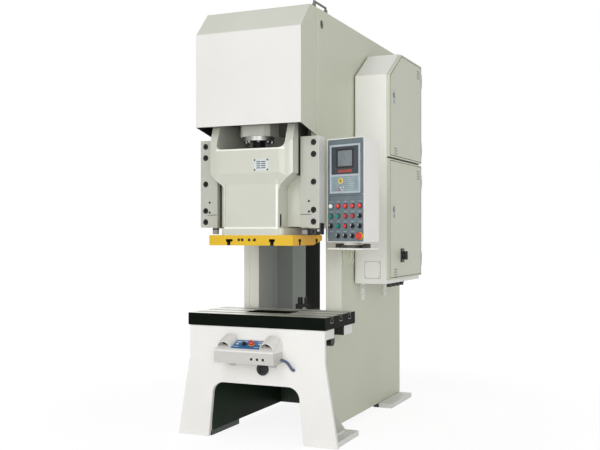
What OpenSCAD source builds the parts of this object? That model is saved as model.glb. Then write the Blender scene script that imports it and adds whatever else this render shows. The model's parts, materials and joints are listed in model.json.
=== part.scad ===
// Single-point servo press: open C frame, ball-screw slide drive, swivelling control pendant, cabinet.
// X runs across the press, Y from the operator to the back and Z up. The origin lies on the floor in the
// middle of the four anchor bolts. Heights count from the floor, depths from the front of the leg plate.

/* [Frame] */
// Width over the two side plates
frame_w = 708; // [690:1:730]
// Thickness of a side plate
side_t = 40; // [30:1:45]
// Depth from the leg plate's face to the rear edge of the side plates
frame_d = 1792; // [1760:1:1900]
// Front edge of the upper jaw
jaw_y = 132; // [130:1:140]
// Height of the upper jaw's underside
jaw_z = 1290; // [1280:1:1310]
// Front face of the two columns
throat_y = 540; // [520:1:560]
// Width of a column's face, side plate included
column_w = 111; // [95:1:125]
// Depth of a column box
column_d = 223; // [190:1:225]
// Thickness of the crown's cross plates and the lower tie plate
cross_t = 30; // [25:1:35]
// Height of the crown floor above the upper jaw
crown_rise = 670; // [660:1:690]
// Lifting hole in each side plate
lift_d = 55; // [40:1:70]

/* [Feet and anchors] */
// Thickness of a foot plate
foot_t = 32; // [25:1:40]
// Outer width over the front feet
front_foot_w = 1050; // [1000:1:1070]
// Depth of a front foot
front_foot_d = 365; // [345:1:400]
// Outer width over the rear feet
rear_foot_w = 910; // [890:1:960]
// Depth of a rear foot
rear_foot_d = 491; // [450:1:520]
// Spacing of the anchor holes across the press
anchor_x = 810; // [800:1:830]
// Spacing of the anchor holes along the press
anchor_y = 1340; // [1320:1:1360]
// Front anchor holes behind the leg plate's face
anchor_setback = 300; // [290:1:320]
// Anchor hole
anchor_d = 28; // [18:1:34]

/* [Leg plate and bed] */
// Thickness of the leg plate
leg_t = 30; // [20:1:35]
// Width of the leg plate at the bed
leg_w = 912; // [890:1:920]
// Width of the leg plate at the floor
leg_floor_w = 1076; // [1060:1:1100]
// Height where the leg plate starts to flare
flare_z = 495; // [450:1:520]
// Width of the arch at its shoulders
arch_w = 588; // [540:1:600]
// Width of the arch at the floor
arch_floor_w = 642; // [620:1:660]
// Height of the arch
arch_h = 342; // [320:1:360]
// Corner radius of the arch
arch_r = 75; // [50:1:90]
// Height of the bed's upper face
bed_z = 689; // [680:1:700]
// Thickness of the bed plate
bed_t = 59; // [50:1:65]
// Width of the bolster
bolster_w = 928; // [920:1:960]
// Depth of the bolster
bolster_d = 500; // [490:1:520]
// Thickness of the bolster
bolster_t = 76; // [70:1:90]
// Width of the drop opening
drop_w = 300; // [260:1:320]
// Depth of the drop opening
drop_d = 190; // [150:1:200]

/* [T-slots] */
// Width of a T-slot's neck
slot_neck = 22; // [18:1:24]
// Width of a T-slot's head
slot_head = 37; // [32:1:40]
// Height of a T-slot's head
slot_head_h = 16; // [12:1:18]
// Depth of a T-slot
slot_depth = 38; // [34:1:40]

/* [Slide] */
// Width of the slide between the gib caps
slide_w = 554; // [540:1:560]
// Slide front ahead of the leg plate's face
slide_front = 75; // [68:1:80]
// Depth of the slide
slide_d = 375; // [355:1:395]
// Fall of the slide's front from its flat middle to its sides
front_fall = 20; // [12:1:24]
// Width of the flat middle of the slide's front
front_flat_w = 376; // [340:1:400]
// Width of the slide's nose
nose_w = 368; // [360:1:376]
// Height of the slide's working face below the upper jaw
face_drop = 103; // [95:1:110]
// Width of the slide plate
plate_w = 560; // [550:1:570]
// Depth of the slide plate
plate_d = 454; // [440:1:470]
// Thickness of the slide plate
plate_t = 62; // [58:1:70]
// Tool shank bore
shank_d = 50; // [38:1:60]
// Width of the slide over its guide flanges
guide_w = 611.4; // [606:0.1:612]
// Running clearance of the guide faces
guide_gap = 0.3; // [0.2:0.05:0.4]

/* [Gibs] */
// Width of a guide rail beside the slide's guide flange
rail_w = 97; // [90:1:105]
// Thickness of a gib cap
gib_t = 35; // [30:1:38]
// Height of a gib cap
gib_h = 544; // [530:1:546]
// Depth of a guide rail behind the gib cap
rail_d = 54; // [50:1:56]
// Head of a gib screw
gib_head_d = 33; // [28:1:36]

/* [Hood] */
// Width of the hood
hood_w = 700; // [692:1:706]
// Hood front ahead of the leg plate's face
hood_front_y = 105; // [102:1:115]
// Height of the hood front's lower edge above the jaw
hood_rise = 615; // [605:1:640]
// Height of the fold below the top of the frame
fold_drop = 157; // [150:1:180]
// Depth of the sloping top
slope_d = 144; // [130:1:160]
// Hood sheet
hood_t = 4; // [3:0.5:5]

/* [Drive] */
// Screw axis behind the leg plate's face
screw_y = 60; // [60:1:64]
// Diameter of the drive screw
screw_d = 80; // [70:1:84]
// Diameter of the ball nut
nut_d = 125; // [115:1:130]
// Width of the nut housing
head_w = 200; // [180:1:210]
// Height of the nut housing
head_h = 479; // [470:1:485]
// Tooth module of the gear pair
gear_module = 6; // [5.9:0.05:6]
// Teeth of the nut gear
gear_teeth = 50; // [48:2:50]
// Teeth of the motor pinion
pinion_teeth = 25; // [23:2:25]
// Width of the nut gear
gear_t = 40; // [36:1:44]
// Free height from the nut gear to the top of the frame
headroom = 234.7; // [225:0.1:260]
// Side of the square servo motor
motor_w = 200; // [180:1:206]

/* [Cabinet] */
// Gap between the side plate and the cabinet
cabinet_gap = 11; // [10:1:16]
// Width of the cabinet, doors included
cabinet_w = 239; // [225:1:260]
// Front of the cabinet
cabinet_y = 766; // [764:1:790]
// Depth of the cabinet
cabinet_d = 764; // [740:1:800]
// Height of the cabinet's underside
cabinet_z = 925; // [915:1:945]
// Height of the cabinet
cabinet_h = 1565; // [1540:1:1600]
// Height of the sloping roof
roof_h = 180; // [160:1:200]
// Depth of the sloping roof
roof_d = 264; // [240:1:280]
// Cabinet sheet
cabinet_wall = 3; // [2:0.5:4]
// Thickness of a door
door_t = 20; // [16:1:24]
// Height of the gap between the doors
door_split = 830; // [810:1:850]

/* [Pendant] */
// Width of the pendant
pendant_w = 289; // [280:1:300]
// Depth of the pendant
pendant_d = 138; // [130:1:145]
// Height of the pendant
pendant_h = 619; // [610:1:640]
// Height of the pendant's underside
pendant_z = 1207; // [1195:1:1215]
// Swivel axis, to the right of the centre plane
pendant_x = 571; // [566:1:590]
// Swivel axis, behind the leg plate's face
pendant_y = 165; // [160:1:172]
// Turn of the pendant towards the operator
pendant_yaw = 20; // [10:1:25]
// Column pitch of the controls
control_pitch_x = 56; // [52:1:58]
// Row pitch of the controls
control_pitch_z = 59; // [56:1:62]
// Mounting hole of a control
control_d = 22; // [20:0.5:24]

/* [Two-hand box] */
// Width of the two-hand box
box_w = 395; // [385:1:410]
// Depth of the two-hand box
box_d = 130; // [120:1:140]
// Height of its front face
box_front_h = 78; // [72:1:86]
// Height at the leg plate
box_back_h = 135; // [130:1:142]
// Height of its underside
box_z = 485; // [475:1:495]
// Middle of the box, to the left of the centre plane
box_left = 12.5; // [5:0.5:20]
// Head of a palm button
palm_d = 50; // [44:1:54]

/* [Hidden] */
$fn = 48;
// How far a cut runs past the face it opens
overrun = 2;
// Clear fit around pieces that are bolted or set in
fit = 0.2;
// Radial clearance of a shaft in its bore
run = 0.08;
// Small air gap between faces that move past each other
air = 0.3;

leg_y = -anchor_y / 2 - anchor_setback;
side_x = frame_w / 2;
side_in = side_x - side_t;
crown_z = jaw_z + crown_rise;
hood_z = jaw_z + hood_rise;
bed_under = bed_z - bed_t;
bolster_z = bed_z + bolster_t;
jaw_corner_r = 80;

// Bed plate: wings carry the bolster's ends, a notch lets the air pipe pass
wing_front_d = 155;
wing_rear_y = 317;
wing_rear_d = 147;
deck_d = 250;
bolster_lip = 5;
drop_r = 20;
slot_pitch = 150;

// Feet
rear_foot_setback = 19;
gusset_t = 16;
gusset_h = 228;
gusset_d = 300;
gusset_end_h = 22;
gusset_notch = 30;
gusset_x = 440;

// Tie plate and lifting hole
tie_y = 1046;
lift_y = 206;
lift_drop = 89;
column_skin = 25;

// Guides and gibs, heights count from the underside of the gib cap
gib_lift = 5;
gib_z = jaw_z + gib_lift;
gib_slide_gap = 6;
gib_inner = slide_w / 2 + gib_slide_gap;
gib_y = jaw_y - rail_d - gib_t;
rail_inner = guide_w / 2 + guide_gap;
rail_outer = rail_inner + rail_w;
gib_w = rail_outer - gib_inner;
liner_d = 28;
guide_end = 5;
rail_screw_share = 0.63;
gib_screw_x = rail_inner + rail_w * rail_screw_share;
gib_screw_shares = [0.064, 0.193, 0.5, 0.803, 0.932];
gib_bore_gap = 2.5;
gib_bore_d = gib_head_d + 2 * gib_bore_gap;
gib_bore_depth = 22;
gib_head_h = 18;
gib_shank_d = 20;
gib_thread_l = 45;
gib_line_share = 0.142;
gib_line_w = 4;
gib_line_depth = 3;
socket_share = 0.5;

// Slide, heights count from its working face
face_z = jaw_z - face_drop;
casting_z = face_z + plate_t;
flange_w = 420;
flange_h = 42;
flange_d = 380;
flange_r = 30;
flange_setback = 22;
nose_r = 13;
nose_setback = 11;
brow_d = 25;
brow_h = 85;
shoulder_rise = 371;
shoulder_z = casting_z + shoulder_rise;
shoulder_h = 80;
shoulder_r = 60;
nose_drop_share = 0.3;
arm_rise = 676;
arm_top = casting_z + arm_rise;
saddle_rise = 519;
saddle_z = casting_z + saddle_rise;
saddle_w = 458;
saddle_r = 38;
arm_lean_d = 58;
pocket_d = 150;
pocket_rise = 401;
pocket_z = casting_z + pocket_rise;
recess_side = 14;
recess_w = nose_w - 2 * recess_side;
recess_z = 48;
recess_depth = 8;
knock_z = 48;
knock_h = 80;
knock_w = 26;
knock_y = -21;
knock_round_share = 0.49;
guide_z0 = gib_z + guide_end;
guide_z1 = gib_z + gib_h - guide_end;
plate_setback = 11;
plate_flat_d = 309;
plate_bevel_h = 28;
plate_slot_x = 145;
plate_slot_shares = [0.231, 0.802];
plate_slot_l = 110;
shank_ahead = 55;
shank_y = bolster_d / 2 - bolster_lip - shank_ahead;
shank_extra = 30;
shank_relief = 12;
front_hole_d = 12;
front_hole_depth = 25;
front_hole_shares = [-0.22, -0.09, 0.04];

// Hood: fall of the wings' lower edge over a depth, and the return flange of the front sheet
wing_drop = 70;
wing_run = 327;
return_d = 28;

// Drive
head_drop = 59;
head_z = hood_z - head_drop;
head_top = head_z + head_h;
head_reach = 85;
head_front = screw_y - head_reach;
head_chamfer = 30;
ring_d = 195;
ring_t = 26;
ring_bore = 92;
ring_bolt_count = 8;
ring_bolt_d = 16;
ring_bolt_h = 9;
ring_bolt_r = 78;
nut_flange_d = 180;
nut_flange_t = 25;
gear_z = head_top + air + nut_flange_t;
frame_h = gear_z + gear_t + headroom;
gear_r = gear_module * gear_teeth / 2;
pinion_r = gear_module * pinion_teeth / 2;
pinion_y = screw_y + gear_r + pinion_r;
backlash = 0.6;
pressure_angle = 20;
root_share = 1.25;
depth_share = 2.25;
flank_shares = [0, 0.3, 0.55, 0.8, 1];
rim_share = 4;
gear_bore = 104;
gear_web_depth = 8;
gear_bolt_r = 76;
gear_bolt_d = 13;
gear_bolt_count = 6;
screw_seat_d = 140;
screw_seat_t = 25;
screw_spare = 50;
screw_top = gear_z + gear_t + screw_spare;
screw_chamfer = 6;
window_side = 30;
window_w = 2 * (gear_r + window_side);
window_margin = 10;
motor_z = crown_z + cross_t;
motor_gear_gap = 60;
motor_h = gear_z - motor_z - motor_gear_gap;
motor_shaft_d = 40;
motor_shaft_seat = 50;
motor_rib_w = 8;
motor_rib_depth = 10;
motor_rib_count = 6;
motor_flange_t = 20;

// Cabinet
cabinet_x = side_x + cabinet_gap;
shell_w = cabinet_w - door_t;
shell_face = cabinet_x + shell_w;
roof_a = atan2(roof_h, roof_d);
cabinet_lip = 24;
door_margin = 6;
door_low = 27;
door_gap = 12;
door_sheet = 2.5;
// Lower and upper edge of the lower and of the upper door
door_z = [[cabinet_z + door_low, cabinet_z + door_split],
          [cabinet_z + door_split + door_gap, cabinet_z + cabinet_h - door_margin]];
door_air = 0.5;
hinge_d = 16;
hinge_pin_d = 8;
hinge_l = 50;
hinge_leaf_t = 8;
hinge_setback = 12;
hinge_y = cabinet_y + cabinet_d + hinge_setback;
hinge_share = 0.6;
hinge_x = shell_face + door_t * hinge_share;
hinge_shares = [0.15, 0.85];
lock_setback = 99;
lock_y = cabinet_y + lock_setback;
lock_share = 0.58;
lock_d = 26;
lock_proud = 7;
lock_shaft_d = 16;
lock_cam_t = 4;
lock_cam_w = 16;
lock_cam_l = 92;
lock_slot_w = 4;
switch_setback = 280;
switch_y = cabinet_y + switch_setback;
switch_rise = 183;
switch_z = cabinet_z + switch_rise;
switch_plate_w = 65;
switch_plate_h = 95;
switch_plate_t = 8;
switch_d = 46;
switch_h = 14;
switch_grip_w = 14;
switch_grip_l = 58;
switch_grip_h = 18;
switch_round_share = 0.45;
switch_shaft_d = 12;
panel_t = 3;
panel_gap = 22;
panel_margin = 70;
panel_post_d = 16;
drive_w = 210;
drive_h = 420;
drive_d = 110;
drive_fin_count = 9;
fin_gap_share = 0.25;
fin_start_share = 0.6;
module_w = 70;
module_h = 110;
module_d = 80;
module_gap = 7;
module_count = 6;
bracket_w = 60;
bracket_t = 10;
bracket_h = 110;
bracket_reach = 120;
bracket_shares = [0.215, 0.83];
bracket_bolt_shares = [0.25, 0.75];
pad_w = 60;
gland_d = 36;
gland_nut_d = 44;
gland_h = 34;
gland_count = 4;
gland_pitch = 90;
gland_share = 0.72;

// Pendant, in its own frame: middle of the underside, front towards -Y
pendant_wall = 3;
pendant_rim = 5;
pendant_roof_drop = 30;
pendant_panel_t = 4;
panel_inset = 2;
pendant_top_rim = 7;
panel_top = pendant_h - pendant_top_rim;
pad_d = 110;
pad_t = 16.7;
pin_d = 40;
pin_l = 30;
swivel_d = 140;
shelf_t = 10;
shelf_w = 270;
shelf_d = 150;
swivel_h = 17;
shelf_z = pendant_z - pad_t - air - swivel_h;
arm_setback = 20;
arm_y0 = throat_y + arm_setback;
arm_flange_w = 180;
arm_y1 = arm_y0 + arm_flange_w;
arm_flange_h = 110;
arm_rib_t = 10;
arm_bolt_d = 20;
arm_bolt_h = 10;
arm_bolt_y_shares = [0.15, 0.85];
arm_bolt_z_shares = [0.3, 0.75];
arm_rib_share = 0.8;
arm_rib_reach = 40;
buffer_w = 36;
buffer_x = 105;
control_z0 = 38;
module_frame_w = 236;
module_frame_h = 290;
module_frame_z = 290;
module_frame_t = 9;
module_lip = 12;
module_window_h = 165;
module_depth = 5;
button_cap_d = control_d - 2 * air;
button_lip = 2;
button_proud = 9;
button_travel = 4;
button_stem_l = 24;
selector_d = control_d - 2 * air;
selector_h = 7;
selector_grip_w = 7;
selector_grip_h = 12;
selector_round_share = 0.4;
selector_l = 21;
estop_d = 42;
box_estop_d = 34;
estop_head_h = 14;
estop_neck_h = 12;
bezel_d = 29;
bezel_h = 3;
lamp_d = 24;
lamp_h = 10;
// Column and row of each push button and selector, counted from the lower left
push_cells = [[0, 2], [1, 2], [2, 2], [3, 2], [1, 1], [2, 1]];
push_colours = ["seagreen", "seagreen", "firebrick", "firebrick", "seagreen", "firebrick"];
selector_cells = [[4, 2], [0, 1], [3, 1], [4, 1], [1, 0], [2, 0], [3, 0]];
lamp_cells = [[0, 3], [1, 3], [2, 3], [3, 3], [4, 3]];
estop_cell = [4, 0];
column_count = 5;

// Two-hand box, slope of its lid
box_wall = 3;
box_a = atan2(box_back_h - box_front_h, box_d);
lid_l = box_d / cos(box_a);
lid_mid = lid_l / 2;
palm_inset = 55;
palm_x = box_w / 2 - palm_inset;
palm_h = 14;
palm_proud = 10;
palm_stem_d = 18;
palm_stem_l = 30;
guard_r = 44;
guard_t = 4;
guard_l = 96;
box_panel_w = 190;
box_panel_l = 96;
box_panel_t = 2;
box_control_pitch = 50;
box_lug_w = 40;
box_lug_h = 34;
box_lug_t = 6;
box_lug_shares = [-0.4, 0.3];
box_plug_d = 16;
box_plug_proud = 3;
box_plug_pitch = 38;
box_plug_count = 3;
box_plug_x_share = 0.14;
box_plug_z_share = 0.4;
conduit_d = 18;
conduit_x = 74;
conduit_y = 24;
conduit_z = 20;
conduit_fall = 58;
conduit_reach = 60;
conduit_ring_count = 14;
conduit_side_count = 12;

// Black air fittings and grommet
valve_w = 96;
valve_d = 50;
valve_h = 90;
valve_x = 10;
valve_y = 690;
valve_cap_d = 34;
valve_cap_h = 46;
pipe_d = 14;
pipe_inset = 28;
pipe_x = side_x - pipe_inset;
pipe_y = 150;
pipe_run = 184;
pipe_rise = 44;
pipe_fitting_d = 26;
pipe_fitting_h = 30;
stub_d = 62;
stub_l = 48;
stub_y = 268;
stub_drop = 33;
grommet_d = 76;
grommet_t = 12;
grommet_x = 55;
grommet_gap = 6;
grommet_z = box_z - grommet_d / 2 - grommet_gap;

frame_paint = [0.74, 0.75, 0.67];
white_paint = [0.91, 0.91, 0.88];
steel = [0.62, 0.63, 0.62];
black = [0.08, 0.09, 0.08];
yellow = [0.95, 0.74, 0.12];
grey_panel = [0.37, 0.42, 0.45];

// Puts a piece drawn from the leg plate's face into the press's own frame
module at_leg() { translate([0, leg_y, 0]) children(); }

// Both sides of the centre plane
module both_sides() {
  children();
  mirror([1, 0, 0]) children();
}

// Outline in Y and Z, swept along X from x0 over a length
module sweep_x(x0, length) {
  translate([x0, 0, 0]) rotate([90, 0, 90]) linear_extrude(length) children();
}

// Outline in X and Z, swept along Y from y0 over a length
module sweep_y(y0, length) {
  translate([0, y0 + length, 0]) rotate([90, 0, 0]) linear_extrude(length) children();
}

// Block between two opposite corners
module block(low, high) { translate(low) cube(high - low); }

// Rectangle with round corners, centred
module rounded_rect(w, d, r) {
  square([w - 2 * r, d], center = true);
  square([w, d - 2 * r], center = true);
  for (x = [-1, 1], y = [-1, 1]) translate([x * (w / 2 - r), y * (d / 2 - r)]) circle(r);
}

// Plan with two round front corners
module front_rounded(w, y0, d, r) {
  translate([-w / 2, y0 + r]) square([w, d - r]);
  translate([-w / 2 + r, y0]) square([w - 2 * r, d]);
  for (x = [-1, 1]) translate([x * (w / 2 - r), y0 + r]) circle(r);
}

// T-slot section, open upwards at zero height
module slot_section() {
  translate([-slot_neck / 2, -slot_depth]) square([slot_neck, slot_depth + overrun]);
  translate([-slot_head / 2, -slot_depth]) square([slot_head, slot_head_h]);
}

// Cap screw along +Y with its head towards the operator
module cap_screw(head_d, head_h, shank_d, shank_l) {
  rotate([-90, 0, 0]) {
    difference() {
      cylinder(d = head_d, h = head_h);
      translate([0, 0, -overrun])
        cylinder(d = head_d * socket_share, h = head_h * socket_share + overrun, $fn = 6);
    }
    translate([0, 0, head_h]) cylinder(d = shank_d, h = shank_l);
  }
}

// Side plate with its deep throat, a filleted jaw corner and the lifting hole
module side_outline() {
  difference() {
    polygon([
      [leg_t, foot_t], [leg_t, bed_under], [throat_y, bed_under], [throat_y, jaw_z], [jaw_y, jaw_z],
      [jaw_y, frame_h], [frame_d, frame_h], [frame_d, foot_t]
    ]);
    translate([lift_y, frame_h - lift_drop]) circle(d = lift_d);
  }
  difference() {
    translate([throat_y - jaw_corner_r, jaw_z - jaw_corner_r]) square(jaw_corner_r);
    translate([throat_y - jaw_corner_r, jaw_z - jaw_corner_r]) circle(jaw_corner_r);
  }
}

module side_plate_left() { color(frame_paint) at_leg() sweep_x(-side_x, side_t) side_outline(); }

module side_plate_right() { color(frame_paint) at_leg() sweep_x(side_in, side_t) side_outline(); }

// Channel columns, closed by the side plates
module columns() {
  inner = side_x - column_w;
  color(frame_paint) at_leg() both_sides() difference() {
    block([inner, throat_y, bed_z], [side_in, throat_y + column_d, crown_z]);
    block([inner + column_skin, throat_y + cross_t, bed_z + cross_t],
          [side_in + overrun, throat_y + column_d - column_skin, crown_z - cross_t]);
  }
}

// Flared front plate with the rounded arch
module leg_plate() {
  color(white_paint) at_leg() sweep_y(0, leg_t) difference() {
    polygon([
      [-leg_floor_w / 2, 0], [-leg_w / 2, flare_z], [-leg_w / 2, bed_z],
      [leg_w / 2, bed_z], [leg_w / 2, flare_z], [leg_floor_w / 2, 0]
    ]);
    polygon([
      [-arch_floor_w / 2, -overrun], [-arch_w / 2, arch_h - arch_r], [-arch_w / 2 + arch_r, arch_h],
      [arch_w / 2 - arch_r, arch_h], [arch_w / 2, arch_h - arch_r], [arch_floor_w / 2, -overrun]
    ]);
    for (x = [-1, 1]) translate([x * (arch_w / 2 - arch_r), arch_h - arch_r]) circle(arch_r);
  }
}

// Bed plate with two wings a side, and the deck between the columns
module bed_plate() {
  color(frame_paint) at_leg() translate([0, 0, bed_under]) linear_extrude(bed_t) difference() {
    union() {
      translate([-side_x, leg_t]) square([frame_w, throat_y - leg_t]);
      translate([-side_in, throat_y]) square([2 * side_in, deck_d]);
      translate([-leg_w / 2, leg_t]) square([leg_w, wing_front_d - leg_t]);
      translate([-leg_w / 2, wing_rear_y]) square([leg_w, wing_rear_d]);
    }
    translate([0, bolster_d / 2 - bolster_lip]) rounded_rect(drop_w, drop_d, drop_r);
  }
}

// Crown of the frame: front plate with the gear window, floor, rear plate and top plate
module crown_box() {
  color(frame_paint) at_leg() difference() {
    block([-side_in, jaw_y, crown_z], [side_in, frame_d, frame_h]);
    block([-side_in - overrun, jaw_y + cross_t, crown_z + cross_t],
          [side_in + overrun, frame_d - cross_t, frame_h - cross_t]);
    block([-window_w / 2, jaw_y - overrun, gear_z - nut_flange_t - window_margin],
          [window_w / 2, jaw_y + cross_t + overrun, gear_z + gear_t + window_margin]);
  }
}

module rear_tie_plate() {
  color(frame_paint) at_leg() block([-side_in, tie_y, foot_t], [side_in, tie_y + cross_t, bed_z]);
}

// Foot plates under the side plates, and gussets behind the leg plate
module feet() {
  anchor_rear = anchor_setback + anchor_y;
  rear_y1 = frame_d - rear_foot_setback;
  color(white_paint) at_leg() both_sides() {
    difference() {
      union() {
        block([side_in, leg_t, 0], [front_foot_w / 2, leg_t + front_foot_d, foot_t]);
        block([side_in, rear_y1 - rear_foot_d, 0], [rear_foot_w / 2, rear_y1, foot_t]);
      }
      for (y = [anchor_setback, anchor_rear])
        translate([anchor_x / 2, y, -overrun]) cylinder(d = anchor_d, h = foot_t + 2 * overrun);
    }
    sweep_x(gusset_x, gusset_t) polygon([
      [leg_t, foot_t + gusset_notch], [leg_t, foot_t + gusset_h], [leg_t + gusset_d, foot_t + gusset_end_h],
      [leg_t + gusset_d, foot_t], [leg_t + gusset_notch, foot_t]
    ]);
  }
}

// Height of a gib screw
function gib_screw_z(share) = gib_z + share * gib_h;

// Guide rails on the jaw's front edge, with liners behind the slide's guide flanges
module guide_rails() {
  color(steel) at_leg() both_sides() {
    difference() {
      block([rail_inner, jaw_y - rail_d, gib_z], [rail_outer, jaw_y, gib_z + gib_h]);
      for (share = gib_screw_shares) translate([gib_screw_x, jaw_y - rail_d - overrun, gib_screw_z(share)])
        rotate([-90, 0, 0]) cylinder(d = gib_shank_d + 2 * fit, h = gib_thread_l + overrun);
    }
    block([gib_inner, jaw_y, gib_z], [side_in, jaw_y + liner_d, gib_z + gib_h]);
  }
}

// Gib caps with counterbored screw holes and the joint line of the lower insert
module gibs() {
  color(white_paint) at_leg() both_sides() difference() {
    block([gib_inner, gib_y, gib_z], [rail_outer, gib_y + gib_t, gib_z + gib_h]);
    for (share = gib_screw_shares) translate([gib_screw_x, gib_y, gib_screw_z(share)]) rotate([-90, 0, 0]) {
      translate([0, 0, -overrun]) cylinder(d = gib_bore_d, h = gib_bore_depth + overrun);
      cylinder(d = gib_shank_d + 2 * fit, h = gib_t + overrun);
    }
    block([gib_inner - overrun, gib_y - overrun, gib_z + gib_line_share * gib_h],
          [gib_inner + gib_w / 2, gib_y + gib_line_depth, gib_z + gib_line_share * gib_h + gib_line_w]);
  }
}

module gib_bolts() {
  shank_l = gib_t - gib_bore_depth + gib_thread_l - overrun;
  color(black) at_leg() both_sides() for (share = gib_screw_shares)
    translate([gib_screw_x, gib_y + gib_bore_depth - gib_head_h, gib_screw_z(share)])
      cap_screw(gib_head_d, gib_head_h, gib_shank_d, shank_l);
}

// Height of the hood's slanted lower edge at a depth
function wing_z(y) = hood_z - wing_drop * (y + hood_front_y) / wing_run;

// Folded hood sheet: two wings, the sloping top and the strip back to the crown
module hood_shell() {
  fold_z = frame_h - fold_drop;
  slope_y = slope_d - hood_front_y;
  slope_a = atan2(fold_drop, slope_d);
  front = -hood_front_y + hood_t;
  in_fold_z = fold_z + hood_t * tan(slope_a) - hood_t / cos(slope_a);
  in_top_y = slope_y + hood_t * tan(slope_a / 2);
  color(frame_paint) at_leg() {
    both_sides() sweep_x(hood_w / 2 - hood_t, hood_t) polygon([
      [front, wing_z(front)], [front, in_fold_z], [in_top_y, frame_h - hood_t], [jaw_y, frame_h - hood_t],
      [jaw_y, wing_z(jaw_y)]
    ]);
    sweep_x(-hood_w / 2, hood_w) polygon([
      [front, in_fold_z], [front, fold_z + hood_t * tan(slope_a)], [slope_y, frame_h], [jaw_y, frame_h],
      [jaw_y, frame_h - hood_t], [in_top_y, frame_h - hood_t]
    ]);
  }
}

// White front sheet with a return flange along its lower edge
module hood_front() {
  fold_z = frame_h - fold_drop;
  slope_a = atan2(fold_drop, slope_d);
  color(white_paint) at_leg() {
    sweep_x(-hood_w / 2, hood_w) polygon([
      [-hood_front_y, hood_z], [-hood_front_y, fold_z],
      [-hood_front_y + hood_t, fold_z + hood_t * tan(slope_a)], [-hood_front_y + hood_t, hood_z]
    ]);
    sweep_x(-hood_w / 2 + hood_t + air, hood_w - 2 * hood_t - 2 * air) polygon([
      [-hood_front_y + hood_t, hood_z], [-hood_front_y + hood_t, hood_z + hood_t],
      [-hood_front_y + return_d, hood_z + hood_t], [-hood_front_y + return_d, hood_z]
    ]);
  }
}

// Bolster with three T-slots across and the drop opening
module bolster() {
  mid_y = bolster_d / 2 - bolster_lip;
  color([0.16, 0.18, 0.16]) at_leg() difference() {
    block([-bolster_w / 2, -bolster_lip, bed_z], [bolster_w / 2, bolster_d - bolster_lip, bolster_z]);
    for (i = [-1:1]) translate([0, mid_y + i * slot_pitch, bolster_z])
      sweep_x(-bolster_w / 2 - overrun, bolster_w + 2 * overrun) slot_section();
    translate([0, mid_y, bed_z - overrun]) linear_extrude(bolster_t + 2 * overrun)
      rounded_rect(drop_w, drop_d, drop_r);
  }
}

// Nut housing, bolted to the crown's front plate
module drive_head() {
  half = head_w / 2;
  color(frame_paint) at_leg() difference() {
    translate([0, 0, head_z]) linear_extrude(head_h) polygon([
      [-half, jaw_y], [-half, head_front + head_chamfer], [-half + head_chamfer, head_front],
      [half - head_chamfer, head_front], [half, head_front + head_chamfer], [half, jaw_y]
    ]);
    translate([0, screw_y, head_z - overrun]) cylinder(d = nut_d + 2 * run, h = head_h + 2 * overrun);
  }
}

// Ring that closes the housing from below, with its bolt heads
module bearing_ring() {
  color(steel) at_leg() translate([0, screw_y, head_z - ring_t]) {
    difference() {
      cylinder(d = ring_d, h = ring_t);
      translate([0, 0, -overrun]) cylinder(d = ring_bore, h = ring_t + 2 * overrun);
    }
    for (i = [0:ring_bolt_count - 1]) rotate(i * 360 / ring_bolt_count + 180 / ring_bolt_count)
      translate([ring_bolt_r, 0, -ring_bolt_h]) cylinder(d = ring_bolt_d, h = ring_bolt_h, $fn = 6);
  }
}

// Square servo motor on the crown floor, shaft up, with cooling grooves on its sides
module servo_motor() {
  groove_h = motor_h - 3 * motor_flange_t;
  rib_pitch = motor_w / motor_rib_count;
  first_y = (rib_pitch - motor_w - motor_rib_w) / 2;
  color([0.25, 0.27, 0.28]) at_leg() translate([0, pinion_y, motor_z]) difference() {
    translate([-motor_w / 2, -motor_w / 2, 0]) cube([motor_w, motor_w, motor_h]);
    for (i = [0:motor_rib_count - 1], side = [-1, 1])
      translate([side * motor_w / 2 - motor_rib_depth, first_y + i * rib_pitch, motor_flange_t])
        cube([2 * motor_rib_depth, motor_rib_w, groove_h]);
    translate([0, 0, motor_h - motor_shaft_seat])
      cylinder(d = motor_shaft_d + 2 * run, h = motor_shaft_seat + overrun);
  }
}

// Involute gear outline with one tooth on +X
function involute_gap(base_r, r) = let (a = acos(min(1, base_r / max(r, base_r)))) tan(a) * 180 / PI - a;
function tooth_half(teeth, pitch_r, r) =
  let (base_r = pitch_r * cos(pressure_angle), slack = backlash / 4 / pitch_r * 180 / PI)
    90 / teeth - slack + involute_gap(base_r, pitch_r) - involute_gap(base_r, r);
module gear_outline(teeth) {
  pitch_r = gear_module * teeth / 2;
  radii = [for (share = flank_shares) pitch_r + (share * depth_share - root_share) * gear_module];
  last = len(radii) - 1;
  polygon([for (i = [0:teeth - 1], k = [0:2 * last + 1])
    let (r = radii[k <= last ? k : 2 * last + 1 - k],
         turn = i * 360 / teeth + tooth_half(teeth, pitch_r, r) * (k <= last ? -1 : 1))
      r * [cos(turn), sin(turn)]]);
}

// Nut body in the housing, with the flange that carries the gear
module ball_nut() {
  nut_h = head_h + air;
  color(steel) at_leg() translate([0, screw_y, head_z]) difference() {
    union() {
      translate([0, 0, air]) cylinder(d = nut_d, h = nut_h);
      translate([0, 0, head_h + air]) cylinder(d = nut_flange_d, h = nut_flange_t);
    }
    translate([0, 0, -overrun]) cylinder(d = screw_d + 2 * air, h = nut_h + nut_flange_t + 2 * overrun);
  }
}

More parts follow.
